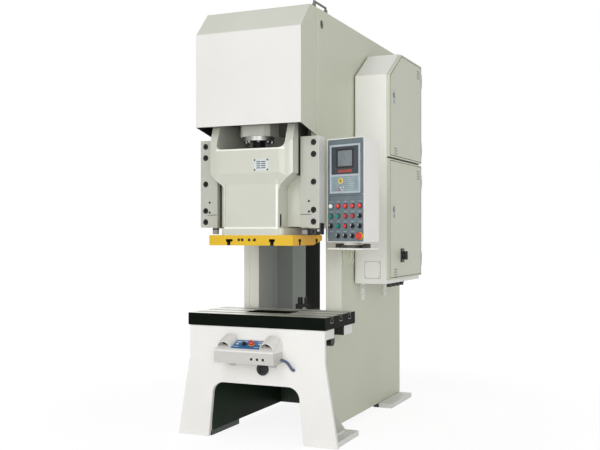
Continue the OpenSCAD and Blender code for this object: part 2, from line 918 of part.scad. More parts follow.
module nut_gear() {
  color([0.45, 0.45, 0.44]) at_leg() translate([0, screw_y, gear_z]) difference() {
    rotate(90 - 180 / gear_teeth) linear_extrude(gear_t) gear_outline(gear_teeth);
    translate([0, 0, -overrun]) cylinder(d = gear_bore, h = gear_t + 2 * overrun);
    translate([0, 0, gear_t - gear_web_depth]) difference() {
      cylinder(r = gear_r - rim_share * gear_module, h = gear_web_depth + overrun);
      translate([0, 0, -overrun]) cylinder(r = nut_flange_d / 2, h = gear_web_depth + 3 * overrun);
    }
    for (i = [0:gear_bolt_count - 1]) rotate(i * 360 / gear_bolt_count)
      translate([gear_bolt_r, 0, -overrun]) cylinder(d = gear_bolt_d, h = gear_t + 2 * overrun);
  }
}

module motor_pinion() {
  shaft_z = motor_z + motor_h - motor_shaft_seat + air;
  color([0.45, 0.45, 0.44]) at_leg() translate([0, pinion_y, 0]) {
    translate([0, 0, gear_z]) rotate(-90) linear_extrude(gear_t) gear_outline(pinion_teeth);
    translate([0, 0, shaft_z]) cylinder(d = motor_shaft_d, h = gear_z - shaft_z);
  }
}

// Drive screw with the seat flange that is bolted into the slide's pocket
module drive_screw() {
  color([0.2, 0.2, 0.2]) at_leg() translate([0, screw_y, pocket_z]) rotate_extrude() polygon([
    [0, 0], [screw_seat_d / 2, 0], [screw_seat_d / 2, screw_seat_t], [screw_d / 2, screw_seat_t],
    [screw_d / 2, screw_top - pocket_z - screw_chamfer], [screw_d / 2 - screw_chamfer, screw_top - pocket_z],
    [0, screw_top - pocket_z]
  ]);
}

// Plan of the slide's head: a flat middle that rounds off gently to the sides
module head_plan() {
  half = slide_w / 2;
  run_x = half - front_flat_w / 2;
  round_r = (run_x * run_x + front_fall * front_fall) / (2 * front_fall);
  intersection() {
    translate([-half, -slide_front]) square([slide_w, slide_d]);
    union() {
      translate([-front_flat_w / 2, -slide_front]) square([front_flat_w, slide_d]);
      translate([-half, round_r - slide_front]) square([slide_w, slide_d]);
      for (x = [-1, 1]) translate([x * front_flat_w / 2, round_r - slide_front]) circle(round_r);
    }
  }
}

// Front view of the head: straight arms, and shoulders that run into the nose with a hollow
module head_front_view() {
  half = slide_w / 2;
  nose_half = nose_w / 2;
  slope_a = atan2(half - nose_half, shoulder_h);
  hollow = shoulder_r * tan(slope_a / 2);
  nose_z = shoulder_z - shoulder_h;
  polygon([
    [-half, shoulder_z], [-half, arm_top], [half, arm_top], [half, shoulder_z],
    [nose_half, nose_z], [-nose_half, nose_z]
  ]);
  for (x = [-1, 1]) difference() {
    polygon([
      [x * nose_half / 2, nose_z - hollow], [x * nose_half, nose_z - hollow],
      [x * (nose_half + hollow * sin(slope_a)), nose_z + hollow * cos(slope_a)], [x * nose_half / 2, nose_z]
    ]);
    translate([x * (nose_half + shoulder_r), nose_z - hollow]) circle(shoulder_r);
  }
}

// Side view of the head: a brow that falls back to the nose, an upright front and arms that lean back
module head_side_view() {
  brow_y = -slide_front + brow_d;
  brow_z = shoulder_z - brow_h;
  back = slide_d - slide_front;
  polygon([
    [brow_y, brow_z - shoulder_h], [brow_y, brow_z], [-slide_front, shoulder_z], [-slide_front, saddle_z],
    [-slide_front + arm_lean_d, arm_top], [back, arm_top], [back, brow_z - shoulder_h]
  ]);
}

// Broad head, narrow nose and base flange of the slide casting
module casting_body() {
  nose_front = -slide_front + nose_setback;
  back = slide_d - slide_front;
  nose_h = shoulder_z - casting_z - shoulder_h * nose_drop_share;
  intersection() {
    sweep_y(-slide_front - overrun, slide_d + 2 * overrun) head_front_view();
    linear_extrude(arm_top + overrun) head_plan();
    sweep_x(-slide_w, 2 * slide_w) head_side_view();
  }
  difference() {
    translate([0, 0, casting_z]) linear_extrude(nose_h)
      front_rounded(nose_w, nose_front, back - nose_front, nose_r);
    translate([-recess_w / 2, nose_front - overrun, casting_z + recess_z])
      cube([recess_w, recess_depth + overrun, nose_h]);
  }
  translate([0, 0, casting_z]) linear_extrude(flange_h)
    front_rounded(flange_w, -slide_front + flange_setback, flange_d, flange_r);
}

// Slide casting: its body, cleared around the rails, with guide flanges and a saddle between two arms
module slide_casting() {
  guide_front = jaw_y - rail_d;
  color([0.84, 0.85, 0.79]) at_leg() difference() {
    union() {
      difference() {
        casting_body();
        both_sides() block([guide_w / 2, guide_front - guide_gap, casting_z - overrun],
                           [guide_w, jaw_y + guide_gap, arm_top + overrun]);
      }
      block([-guide_w / 2, guide_front + guide_gap, guide_z0], [guide_w / 2, jaw_y - guide_gap, guide_z1]);
    }
    sweep_y(-slide_front - overrun, slide_d + 2 * overrun) {
      translate([-saddle_w / 2 + saddle_r, saddle_z]) square([saddle_w - 2 * saddle_r, arm_top]);
      translate([-saddle_w / 2, saddle_z + saddle_r]) square([saddle_w, arm_top]);
      for (x = [-1, 1]) translate([x * (saddle_w / 2 - saddle_r), saddle_z + saddle_r]) circle(saddle_r);
    }
    translate([0, screw_y, pocket_z]) cylinder(d = pocket_d, h = arm_top);
    sweep_x(-slide_w, 2 * slide_w) translate([knock_y, casting_z + knock_z + knock_h / 2])
      rounded_rect(knock_w, knock_h, knock_w * knock_round_share);
    translate([0, shank_y, casting_z - overrun])
      cylinder(d = shank_d + shank_relief, h = shank_extra + overrun);
  }
}

// Slide plate with T-slots from the front and from both ends, bevelled at the rear
module slide_plate() {
  front = -slide_front + plate_setback;
  color(yellow) at_leg() difference() {
    sweep_x(-plate_w / 2, plate_w) polygon([
      [front, face_z], [front, casting_z], [front + plate_d, casting_z],
      [front + plate_d, face_z + plate_bevel_h], [front + plate_flat_d, face_z]
    ]);
    for (x = [-1, 1]) translate([x * plate_slot_x, 0, face_z]) mirror([0, 0, 1])
      sweep_y(front - overrun, plate_d + 2 * overrun) slot_section();
    for (x = [-1, 1], share = plate_slot_shares)
      translate([x * (plate_w - plate_slot_l) / 2, front + share * plate_d, face_z]) mirror([0, 0, 1])
        sweep_x(-plate_slot_l / 2 - overrun, plate_slot_l + 2 * overrun) slot_section();
    translate([0, shank_y, face_z - overrun]) cylinder(d = shank_d, h = plate_t + 2 * overrun);
    for (share = front_hole_shares) translate([share * plate_w, front - overrun, face_z + plate_t / 2])
      rotate([-90, 0, 0]) cylinder(d = front_hole_d, h = front_hole_depth + overrun);
  }
}

// Cabinet side outline, drawn in by a sheet thickness
module cabinet_outline(sheet) {
  y0 = cabinet_y + sheet;
  y1 = cabinet_y + cabinet_d - sheet;
  z0 = cabinet_z + sheet;
  top = cabinet_z + cabinet_h;
  polygon([
    [y0, z0], [y0, top - roof_h - sheet * (1 / cos(roof_a) - tan(roof_a))],
    [cabinet_y + roof_d + sheet * tan(roof_a / 2), top - sheet], [y1, top - sheet], [y1, z0]
  ]);
}

// Height on a door at a share of its own height
function door_at(i, share) = door_z[i][0] + share * (door_z[i][1] - door_z[i][0]);

// Cabinet shell, open towards the doors, with a return lip and the fixed hinge knuckles
module cabinet_shell() {
  rear = cabinet_y + cabinet_d;
  color(white_paint) at_leg() {
    difference() {
      sweep_x(cabinet_x, shell_w) cabinet_outline(0);
      sweep_x(cabinet_x + cabinet_wall, shell_w - 2 * cabinet_wall) cabinet_outline(cabinet_wall);
      sweep_x(cabinet_x + cabinet_wall, shell_w) cabinet_outline(cabinet_lip);
    }
    for (i = [0, 1], share = hinge_shares) translate([hinge_x, hinge_y, door_at(i, share)]) {
      for (z = [-1, 1]) translate([0, 0, z * hinge_l / 2 + (z < 0 ? -hinge_l / 2 - air : air)]) {
        cylinder(d = hinge_d, h = hinge_l / 2);
        block([shell_face - hinge_d - hinge_x, rear - hinge_y, 0],
              [0, rear + hinge_leaf_t - hinge_y, hinge_l / 2]);
      }
      translate([0, 0, -hinge_l]) cylinder(d = hinge_pin_d, h = 2 * hinge_l);
    }
  }
}

// Folded door pan with its hinge knuckles, a lock hole and an optional switch hole
module door(i, with_switch) {
  low = door_z[i][0];
  high = door_z[i][1];
  rear = cabinet_y + cabinet_d - door_margin / 2;
  face = shell_face + door_air;
  outer = face + door_t - door_air;
  at_leg() {
    difference() {
      intersection() {
        block([face, cabinet_y + door_margin, low], [outer, rear, high]);
        sweep_x(face, door_t) cabinet_outline(door_margin);
      }
      intersection() {
        block([face - overrun, cabinet_y + door_margin + door_sheet, low + door_sheet],
              [outer - door_sheet, rear - door_sheet, high - door_sheet]);
        sweep_x(face - overrun, door_t) cabinet_outline(door_margin + door_sheet);
      }
      translate([face - overrun, lock_y, door_at(i, lock_share)]) rotate([0, 90, 0])
        cylinder(d = lock_shaft_d + 2 * run, h = door_t + 2 * overrun);
      if (with_switch) translate([face - overrun, switch_y, switch_z]) rotate([0, 90, 0])
        cylinder(d = switch_shaft_d + 2 * fit, h = door_t + 2 * overrun);
    }
    for (share = hinge_shares) translate([hinge_x, hinge_y, door_at(i, share)]) difference() {
      union() {
        translate([0, 0, -hinge_l / 2]) cylinder(d = hinge_d, h = hinge_l);
        block([-hinge_leaf_t / 2, rear - hinge_y, -hinge_l / 2], [hinge_leaf_t / 2, 0, hinge_l / 2]);
      }
      translate([0, 0, -hinge_l]) cylinder(d = hinge_pin_d + 2 * run, h = 2 * hinge_l);
    }
  }
}

module upper_door() { color(frame_paint) door(1, false); }

module lower_door() { color(frame_paint) door(0, true); }

// Quarter-turn lock: slotted head outside, shaft through the door, cam behind the lip when it is turned
module lock(i) {
  outer = shell_face + door_t;
  cam_x = shell_face - cabinet_wall - air - lock_cam_t;
  color(steel) at_leg() translate([0, lock_y, door_at(i, lock_share)]) {
    difference() {
      translate([outer, 0, 0]) rotate([0, 90, 0]) cylinder(d = lock_d, h = lock_proud);
      block([outer + lock_proud / 2, -lock_d, -lock_slot_w / 2],
            [outer + lock_proud + overrun, lock_d, lock_slot_w / 2]);
    }
    translate([cam_x, 0, 0]) rotate([0, 90, 0]) cylinder(d = lock_shaft_d, h = outer - cam_x);
    block([cam_x, -lock_cam_w / 2, -lock_cam_l], [cam_x + lock_cam_t, lock_cam_w / 2, 0]);
  }
}

module upper_lock() lock(1);

module lower_lock() lock(0);

module switch_base() {
  outer = shell_face + door_t;
  color(black) at_leg() difference() {
    sweep_x(outer, switch_plate_t) translate([switch_y, switch_z])
      rounded_rect(switch_plate_w, switch_plate_h, switch_plate_t);
    translate([outer - overrun, switch_y, switch_z]) rotate([0, 90, 0])
      cylinder(d = switch_shaft_d + 2 * run, h = switch_plate_t + 2 * overrun);
  }
}

// Rotary handle of the main switch, grip upright
module main_switch() {
  outer = shell_face + door_t;
  disc_x = outer + switch_plate_t + air;
  color(black) at_leg() translate([0, switch_y, switch_z]) {
    translate([disc_x, 0, 0]) rotate([0, 90, 0]) cylinder(d = switch_d, h = switch_h);
    sweep_x(disc_x, switch_h + switch_grip_h)
      rounded_rect(switch_grip_w, switch_grip_l, switch_grip_w * switch_round_share);
    translate([outer - door_t, 0, 0]) rotate([0, 90, 0])
      cylinder(d = switch_shaft_d, h = disc_x - outer + door_t);
  }
}

// Angle brackets under the cabinet and pads at its upper edge
module cabinet_brackets() {
  bracket_z = cabinet_z - bracket_t;
  pad_z = cabinet_z + cabinet_h - roof_h - 2 * pad_w;
  bracket_ys = [for (share = bracket_shares) cabinet_y + share * cabinet_d];
  color(white_paint) at_leg() {
    for (y = bracket_ys) translate([side_x, y - bracket_w / 2, bracket_z]) {
      cube([bracket_reach, bracket_w, bracket_t]);
      translate([0, 0, -bracket_h]) cube([bracket_t, bracket_w, bracket_h]);
      for (z = bracket_bolt_shares) translate([bracket_t, bracket_w / 2, -z * bracket_h]) rotate([0, 90, 0])
        cylinder(d = arm_bolt_d, h = arm_bolt_h, $fn = 6);
    }
    for (y = bracket_ys) translate([side_x, y - pad_w / 2, pad_z]) cube([cabinet_gap, pad_w, pad_w]);
  }
}

// Cable glands in the cabinet floor
module cabinet_glands() {
  first_y = cabinet_y + (cabinet_d - (gland_count - 1) * gland_pitch) / 2;
  color(black) at_leg() for (i = [0:gland_count - 1])
    translate([cabinet_x + shell_w * gland_share, first_y + i * gland_pitch, cabinet_z]) {
      translate([0, 0, -gland_h]) cylinder(d = gland_d, h = gland_h);
      translate([0, 0, -gland_h / 2]) cylinder(d = gland_nut_d, h = gland_h / 2, $fn = 6);
    }
}

// Steel plate on posts in the cabinet
module mounting_panel() {
  y0 = cabinet_y + panel_margin;
  y1 = cabinet_y + cabinet_d - panel_margin;
  z0 = cabinet_z + panel_margin;
  z1 = cabinet_z + cabinet_h - roof_h - panel_margin;
  back = cabinet_x + cabinet_wall;
  color([0.8, 0.8, 0.76]) at_leg() {
    block([back + panel_gap, y0, z0], [back + panel_gap + panel_t, y1, z1]);
    for (y = [y0 + panel_post_d, y1 - panel_post_d], z = [z0 + panel_post_d, z1 - panel_post_d])
      translate([back, y, z]) rotate([0, 90, 0]) cylinder(d = panel_post_d, h = panel_gap);
  }
}

// Finned drive unit and a row of control modules on the panel
module servo_drive() {
  face = cabinet_x + cabinet_wall + panel_gap + panel_t;
  drive_y = cabinet_y + (cabinet_d - drive_w) / 2;
  row_y = cabinet_y + (cabinet_d - module_count * (module_w + module_gap)) / 2;
  drive_z = cabinet_z + door_split + panel_margin;
  row_z = cabinet_z + door_split - panel_margin - 2 * module_h;
  fin_pitch = drive_w / drive_fin_count;
  fin_z = drive_z + drive_h * fin_start_share;
  color([0.3, 0.32, 0.34]) at_leg() {
    difference() {
      block([face, drive_y, drive_z], [face + drive_d, drive_y + drive_w, drive_z + drive_h]);
      for (i = [1:drive_fin_count - 1])
        translate([face + drive_d / 2, drive_y + (i - fin_gap_share) * fin_pitch, fin_z])
          cube([drive_d / 2 + overrun, 2 * fin_gap_share * fin_pitch, drive_h]);
    }
    for (i = [0:module_count - 1]) translate([face, row_y + i * (module_w + module_gap), row_z])
      cube([module_d, module_w, module_h]);
  }
}

// Pendant's own frame, and a point of it seen from the leg plate
module in_pendant() { at_leg() translate([pendant_x, pendant_y, pendant_z]) rotate(-pendant_yaw) children(); }
function pendant_point(u, v) = [
  pendant_x + u * cos(pendant_yaw) + v * sin(pendant_yaw),
  pendant_y - u * sin(pendant_yaw) + v * cos(pendant_yaw)
];

// Pendant case, open at the front, with a roof that falls to the back, a foot and the swivel pin
module pendant_case() {
  half_d = pendant_d / 2;
  back_h = pendant_h - pendant_roof_drop;
  color(white_paint) in_pendant() {
    difference() {
      sweep_x(-pendant_w / 2, pendant_w)
        polygon([[-half_d, 0], [-half_d, pendant_h], [half_d, back_h], [half_d, 0]]);
      sweep_x(-pendant_w / 2 + pendant_wall, pendant_w - 2 * pendant_wall) polygon([
        [-half_d + panel_inset + pendant_panel_t, pendant_wall],
        [-half_d + panel_inset + pendant_panel_t, panel_top - pendant_wall],
        [half_d - pendant_wall, back_h - 2 * pendant_wall], [half_d - pendant_wall, pendant_wall]
      ]);
      block([-pendant_w / 2 + pendant_rim, -half_d - overrun, pendant_rim],
            [pendant_w / 2 - pendant_rim, 0, panel_top]);
    }
    translate([0, 0, -pad_t]) cylinder(d = pad_d, h = pad_t);
    translate([0, 0, -pad_t - pin_l]) cylinder(d = pin_d, h = pin_l);
  }
}

// Shelf arm from the column to the pendant, with root flange, rib, swivel base and two buffers
module arm_shelf() {
  linear_extrude(shelf_t) {
    translate([pendant_x, pendant_y]) rotate(-pendant_yaw) square([shelf_w, shelf_d], center = true);
    polygon([
      pendant_point(-shelf_w / 2, shelf_d / 4), pendant_point(shelf_w / 4, shelf_d / 2),
      [side_x + 2 * shelf_t, arm_y1], [side_x, arm_y1], [side_x, arm_y0]
    ]);
  }
}

module arm_root() {
  mid_z = shelf_z - shelf_t / 2;
  flange_z = shelf_z - shelf_t - arm_flange_h;
  rib_z = shelf_z - shelf_t - arm_flange_h * arm_rib_share;
  block([side_x, arm_y0, flange_z], [side_x + shelf_t, arm_y1, mid_z]);
  sweep_y((arm_y0 + arm_y1 - arm_rib_t) / 2, arm_rib_t) polygon([
    [side_x + shelf_t / 2, mid_z], [side_x + shelf_t / 2, rib_z], [side_x + shelf_t, rib_z],
    [side_x + arm_rib_reach, mid_z]
  ]);
  for (y = arm_bolt_y_shares, z = arm_bolt_z_shares)
    translate([side_x + shelf_t, arm_y0 + y * arm_flange_w, shelf_z - shelf_t - z * arm_flange_h])
      rotate([0, 90, 0]) cylinder(d = arm_bolt_d, h = arm_bolt_h, $fn = 6);
}

module pendant_arm() {
  color(white_paint) difference() {
    union() {
      at_leg() translate([0, 0, shelf_z - shelf_t]) arm_shelf();
      at_leg() arm_root();
      in_pendant() translate([0, 0, shelf_z - pendant_z]) {
        cylinder(d = swivel_d, h = swivel_h);
        for (x = [-1, 1]) translate([x * buffer_x - buffer_w / 2, -buffer_w / 2, 0])
          cube([buffer_w, buffer_w, swivel_h + pad_t / 2]);
      }
    }
    at_leg() translate([pendant_x, pendant_y, shelf_z - shelf_t - overrun])
      cylinder(d = pin_d + 2 * run, h = shelf_t + swivel_h + 2 * overrun);
  }
}

// Place of a control on the panel's face, with +Z into the case
function control_x(cell) = (cell[0] - (column_count - 1) / 2) * control_pitch_x;
function control_z(cell) = control_z0 + cell[1] * control_pitch_z;
module at_control(cell) {
  in_pendant() translate([control_x(cell), -pendant_d / 2 + panel_inset, control_z(cell)])
    rotate([-90, 0, 0]) children();
}

// Grey front panel with holes for the controls, their bezels and the lamp row
module pendant_panel() {
  color(grey_panel) {
    in_pendant() translate([0, -pendant_d / 2 + panel_inset, 0]) difference() {
      block([-pendant_w / 2 + pendant_rim + fit, 0, pendant_rim + fit],
            [pendant_w / 2 - pendant_rim - fit, pendant_panel_t, panel_top - fit]);
      for (cell = concat(push_cells, selector_cells, [estop_cell]))
        translate([control_x(cell), -overrun, control_z(cell)]) rotate([-90, 0, 0])
          cylinder(d = control_d, h = pendant_panel_t + 2 * overrun);
    }
    for (cell = concat(push_cells, selector_cells, [estop_cell])) at_control(cell) translate([0, 0, -bezel_h])
      difference() {
        cylinder(d = bezel_d, h = bezel_h);
        translate([0, 0, -overrun]) cylinder(d = control_d, h = bezel_h + 2 * overrun);
      }
    for (cell = lamp_cells) at_control(cell) translate([0, 0, -lamp_h]) cylinder(d = lamp_d, h = lamp_h);
  }
}

// Framed display unit on the panel, with a window and a key field set back from its rim
module display_module() {
  inner_w = module_frame_w - 2 * module_lip;
  key_h = module_frame_h - module_window_h - 3 * module_lip;
  color([0.2, 0.22, 0.24]) in_pendant()
    translate([0, -pendant_d / 2 + panel_inset - module_frame_t, module_frame_z]) difference() {
      block([-module_frame_w / 2, 0, 0], [module_frame_w / 2, module_frame_t, module_frame_h]);
      block([-inner_w / 2, -overrun, module_frame_h - module_lip - module_window_h],
            [inner_w / 2, module_depth, module_frame_h - module_lip]);
      block([-inner_w / 2, -overrun, module_lip], [inner_w / 2, module_depth / 2, module_lip + key_h]);
    }
}

// Push button: cap and stem, pressed into the case
module push_button(i) {
  color(push_colours[i]) at_control(push_cells[i]) {
    translate([0, 0, -button_proud]) cylinder(d = button_cap_d, h = button_proud + button_stem_l);
    translate([0, 0, pendant_panel_t + air]) cylinder(d = control_d + 2 * button_lip, h = button_travel);
  }
}

// Selector: round base with a raised grip
module selector_knob() {
  translate([0, 0, -selector_h]) cylinder(d = selector_d, h = selector_h + button_stem_l);
  translate([0, 0, -selector_h - selector_grip_h]) linear_extrude(selector_grip_h)
    rounded_rect(selector_grip_w, selector_l, selector_grip_w * selector_round_share);
}
module selector(i) { color(black) at_control(selector_cells[i]) selector_knob(); }

// Mushroom head on a neck, turned as one piece
module mushroom(head_d, head_h, neck_d, neck_h, stem_l) {
  dome_share = 0.35;
  rotate_extrude() polygon([
    [0, -neck_h - head_h], [head_d * dome_share, -neck_h - head_h],
    [head_d / 2, -neck_h - head_h * dome_share], [head_d / 2, -neck_h], [neck_d / 2, -neck_h],
    [neck_d / 2, stem_l], [0, stem_l]
  ]);
}

module pendant_estop() {
  color("red") at_control(estop_cell)
    mushroom(estop_d, estop_head_h, button_cap_d, estop_neck_h, button_stem_l);
}

// Two-hand box profile, drawn in by a wall
module box_outline(wall) {
  slope_in = wall * (1 / cos(box_a) - tan(box_a));
  polygon([
    [-box_d + wall, box_z + wall], [-box_d + wall, box_z + box_front_h - slope_in],
    [0, box_z + box_back_h - wall / cos(box_a)], [0, box_z + wall]
  ]);
}

// Point on the lid: along X from the box's middle, and up the slope from its front edge, with +Z into the box
module on_lid(x, up) {
  at_leg() translate([x - box_left, -box_d, box_z + box_front_h]) rotate([box_a, 0, 0])
    translate([0, up, 0]) mirror([0, 0, 1]) children();
}

// Folded box with a sloping lid, arched palm guards, lugs and front plugs
module two_hand_box() {
  color(white_paint) {
    difference() {
      at_leg() difference() {
        sweep_x(-box_left - box_w / 2, box_w) box_outline(0);
        sweep_x(-box_left - box_w / 2 + box_wall, box_w - 2 * box_wall) box_outline(box_wall);
      }
      for (x = [-1, 1]) on_lid(x * palm_x, lid_mid)
        translate([0, 0, -overrun]) cylinder(d = palm_stem_d + 2 * fit, h = 2 * box_wall + overrun);
      for (x = [-1, 1]) on_lid(x * box_control_pitch / 2, lid_mid)
        translate([0, 0, -overrun]) cylinder(d = control_d, h = 2 * box_wall + overrun);
    }
    for (x = [-1, 1]) on_lid(x * palm_x, lid_mid - guard_l / 2) mirror([0, 0, 1]) sweep_y(0, guard_l)
      difference() {
        circle(guard_r);
        circle(guard_r - guard_t);
        translate([-2 * guard_r, -2 * guard_r]) square([4 * guard_r, 2 * guard_r]);
      }
    at_leg() for (x = box_lug_shares) translate([-box_left + x * box_w, -box_lug_t, box_z - box_lug_h])
      cube([box_lug_w, box_lug_t, box_lug_h]);
    at_leg() translate([-box_left + box_w * box_plug_x_share, -box_d, box_z + box_front_h * box_plug_z_share])
      for (i = [0:box_plug_count - 1]) translate([i * box_plug_pitch, -box_plug_proud, 0])
        rotate([-90, 0, 0]) cylinder(d = box_plug_d, h = box_plug_proud);
  }
}

module two_hand_panel() {
  color([0.1, 0.35, 0.6]) on_lid(0, lid_mid) translate([0, 0, -box_panel_t])
    linear_extrude(box_panel_t) difference() {
      square([box_panel_w, box_panel_l], center = true);
      for (x = [-1, 1]) translate([x * box_control_pitch / 2, 0]) circle(d = control_d);
    }
}

module palm_button(side) {
  color(black) on_lid(side * palm_x, lid_mid) mushroom(palm_d, palm_h, palm_stem_d, palm_proud, palm_stem_l);
}

module palm_button_left() palm_button(-1);

module palm_button_right() palm_button(1);

module box_estop() {
  color("red") on_lid(box_control_pitch / 2, lid_mid)
    mushroom(box_estop_d, estop_head_h, button_cap_d, estop_neck_h, button_stem_l);
}

module box_selector() { color(black) on_lid(-box_control_pitch / 2, lid_mid) selector_knob(); }

// Formed conduit from the box's right end into the leg plate, swept along a Bezier curve
function conduit_at(t) =
  let (u = 1 - t, x0 = box_w / 2 - box_left, z0 = box_z + conduit_z)
    u * u * u * [x0, -conduit_y, z0] + 3 * u * u * t * [x0 + conduit_reach, -conduit_y, z0]
    + 3 * u * t * t * [x0 + conduit_x, -2 * conduit_y, z0 - conduit_fall]
    + t * t * t * [x0 + conduit_x, 0, z0 - conduit_fall];
function conduit_way(t) =
  let (d = 1 / conduit_ring_count, along = conduit_at(t + d) - conduit_at(t - d),
       way = t == 0 ? [1, 0, 0] : t == 1 ? [0, 1, 0] : along)
    way / norm(way);
module conduit() {
  points = [for (i = [0:conduit_ring_count], k = [0:conduit_side_count - 1])
    let (t = i / conduit_ring_count, way = conduit_way(t), side = cross(way, [0, 0, 1]),
         out = side / norm(side), up = cross(out, way), a = k * 360 / conduit_side_count)
      conduit_at(t) + conduit_d / 2 * (out * cos(a) + up * sin(a))];
  skin = [for (i = [0:conduit_ring_count - 1], k = [0:conduit_side_count - 1])
    let (n = conduit_side_count, a = i * n + k, b = i * n + (k + 1) % n)
      for (face = [[a, b, b + n], [a, b + n, a + n]]) face];
  ends = [[for (k = [conduit_side_count - 1:-1:0]) k],
          [for (k = [0:conduit_side_count - 1]) conduit_ring_count * conduit_side_count + k]];
  color([0.35, 0.4, 0.48]) at_leg() polyhedron(points, concat(skin, ends));
}

// Black fittings: air valve on the deck, pipe on the crown, stub under the bed, grommet in the leg plate
module air_fittings() {
  color(black) at_leg() {
    translate([valve_x - valve_w / 2, valve_y, bed_z]) cube([valve_w, valve_d, valve_h]);
    for (x = [-1, 1]) translate([valve_x + x * valve_w / 4, valve_y + valve_d / 2, bed_z + valve_h])
      cylinder(d = valve_cap_d, h = valve_cap_h);
    for (y = [pipe_y, pipe_y + pipe_run]) translate([pipe_x, y, frame_h]) {
      cylinder(d = pipe_fitting_d, h = pipe_fitting_h, $fn = 6);
      cylinder(d = pipe_d, h = pipe_rise);
      translate([0, 0, pipe_rise]) sphere(d = pipe_d);
    }
    translate([pipe_x, pipe_y, frame_h + pipe_rise]) rotate([-90, 0, 0]) cylinder(d = pipe_d, h = pipe_run);
    translate([side_x, stub_y, bed_under - stub_drop]) rotate([0, 90, 0]) cylinder(d = stub_d, h = stub_l);
    translate([grommet_x, -grommet_t, grommet_z]) rotate([-90, 0, 0]) difference() {
      cylinder(d = grommet_d, h = grommet_t);
      translate([0, 0, -overrun]) cylinder(d = grommet_d / 2, h = grommet_t / 2 + overrun);
    }
  }
}

side_plate_left();
side_plate_right();
columns();
leg_plate();
bed_plate();
crown_box();
rear_tie_plate();
feet();
guide_rails();
gibs();
gib_bolts();
hood_shell();
hood_front();
bolster();
drive_head();
bearing_ring();
servo_motor();
cabinet_shell();
cabinet_brackets();
cabinet_glands();
mounting_panel();
servo_drive();
pendant_arm();
two_hand_box();
two_hand_panel();
conduit();
air_fittings();
slide_casting();
slide_plate();
drive_screw();
ball_nut();
nut_gear();
motor_pinion();
upper_door();
lower_door();
upper_lock();
lower_lock();
switch_base();
main_switch();
pendant_case();
pendant_panel();
display_module();
pendant_estop();
palm_button_left();
palm_button_right();
box_estop();
box_selector();
for (i = [0:len(push_cells) - 1]) push_button(i);
for (i = [0:len(selector_cells) - 1]) selector(i);
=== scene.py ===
"""Looks of the servo press: a finish for every solid, small trim, camera, light and floor.

Places are metres, as in the frame. Sizes of the trim are millimetres, which the mesh helpers convert.
"""
import json
import math

import bmesh
import bpy
from mathutils import Matrix, Vector


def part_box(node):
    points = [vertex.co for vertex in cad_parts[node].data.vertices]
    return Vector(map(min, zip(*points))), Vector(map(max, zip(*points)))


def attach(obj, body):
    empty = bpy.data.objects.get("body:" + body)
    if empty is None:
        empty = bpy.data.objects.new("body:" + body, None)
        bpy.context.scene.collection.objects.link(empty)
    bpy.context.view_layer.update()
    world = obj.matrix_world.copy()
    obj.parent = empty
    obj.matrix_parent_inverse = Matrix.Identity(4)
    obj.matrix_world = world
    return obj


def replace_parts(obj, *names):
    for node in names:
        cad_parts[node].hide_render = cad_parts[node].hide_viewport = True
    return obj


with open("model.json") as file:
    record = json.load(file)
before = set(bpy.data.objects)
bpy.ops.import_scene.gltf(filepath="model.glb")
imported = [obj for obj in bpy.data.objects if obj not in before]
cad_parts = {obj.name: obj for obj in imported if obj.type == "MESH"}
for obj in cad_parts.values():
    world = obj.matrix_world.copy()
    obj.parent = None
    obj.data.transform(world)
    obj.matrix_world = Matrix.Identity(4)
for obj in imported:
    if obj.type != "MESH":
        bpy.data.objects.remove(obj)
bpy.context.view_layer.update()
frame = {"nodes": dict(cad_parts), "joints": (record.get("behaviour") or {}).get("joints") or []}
nodes = frame["nodes"]
joints = {joint["name"]: joint for joint in frame["joints"]}

MM = 0.001
X_AXIS, Y_AXIS, Z_AXIS = Vector((1, 0, 0)), Vector((0, 1, 0)), Vector((0, 0, 1))
SIDES = (-1, 1)
# Signs of a rectangle's corners, counter-clockwise
CORNERS = ((1, 1), (-1, 1), (-1, -1), (1, -1))


# Colours, as sRGB values from 0 to 255

def srgb(red, green, blue):
    """Linear colour with full alpha."""
    def linear(value):
        share = value / 255
        return share / 12.92 if share <= 0.04045 else ((share + 0.055) / 1.055) ** 2.4
    return (linear(red), linear(green), linear(blue), 1.0)


def shade(colour, factor):
    return tuple(min(1.0, channel * factor) for channel in colour[:3]) + (1.0,)


WHITE = (1.0, 1.0, 1.0, 1.0)
WHITE_ENAMEL = srgb(236, 235, 231)
FRAME_ENAMEL = srgb(208, 212, 191)
# Lighter copy of the frame paint: painted light on the columns and on faces in the throat that look to the
# front
LIT_COLUMN_ENAMEL = srgb(232, 232, 222)
# Painted highlight on the rims of the slide
RIM_HIGHLIGHT = srgb(242, 243, 232)
GIB_ENAMEL = srgb(189, 190, 180)
BOX_ENAMEL = srgb(206, 205, 199)
# Painted shade in the throat: grey, with darker and lighter bands from front to rear
THROAT_SHADE_GREY = srgb(184, 189, 182)
DARKER_SHADE_BAND = srgb(128, 136, 125)
LIGHTER_SHADE_BAND = srgb(194, 204, 194)
# Dark green painted shade inside the frame: below the bed, inside the feet and on the rear tie plate
INNER_SHADE_GREEN = srgb(40, 55, 41)
# Near-black: the pendant arm's dark swivel, and painted shade in gaps, slots, the bed's edges and under the
# crown
DARK_IRON_AND_SHADE = srgb(52, 52, 46)
# Lighter, deeper yellow: painted light on the ends of the slide plate
LIT_YELLOW_END = srgb(252, 190, 16)
BOLSTER_SIDE = srgb(20, 25, 20)
BOLSTER_TOP = srgb(196, 199, 190)
PIPE_GREY = srgb(118, 119, 116)


# Material building blocks

FINISH = {}


def start_material(name):
    """Node tree and shader of a new material, which FINISH keeps under its name."""
    material = bpy.data.materials.new(f"{name}_finish")
    material.use_nodes = True
    FINISH[name] = material
    tree = material.node_tree
    return tree, tree.nodes["Principled BSDF"]


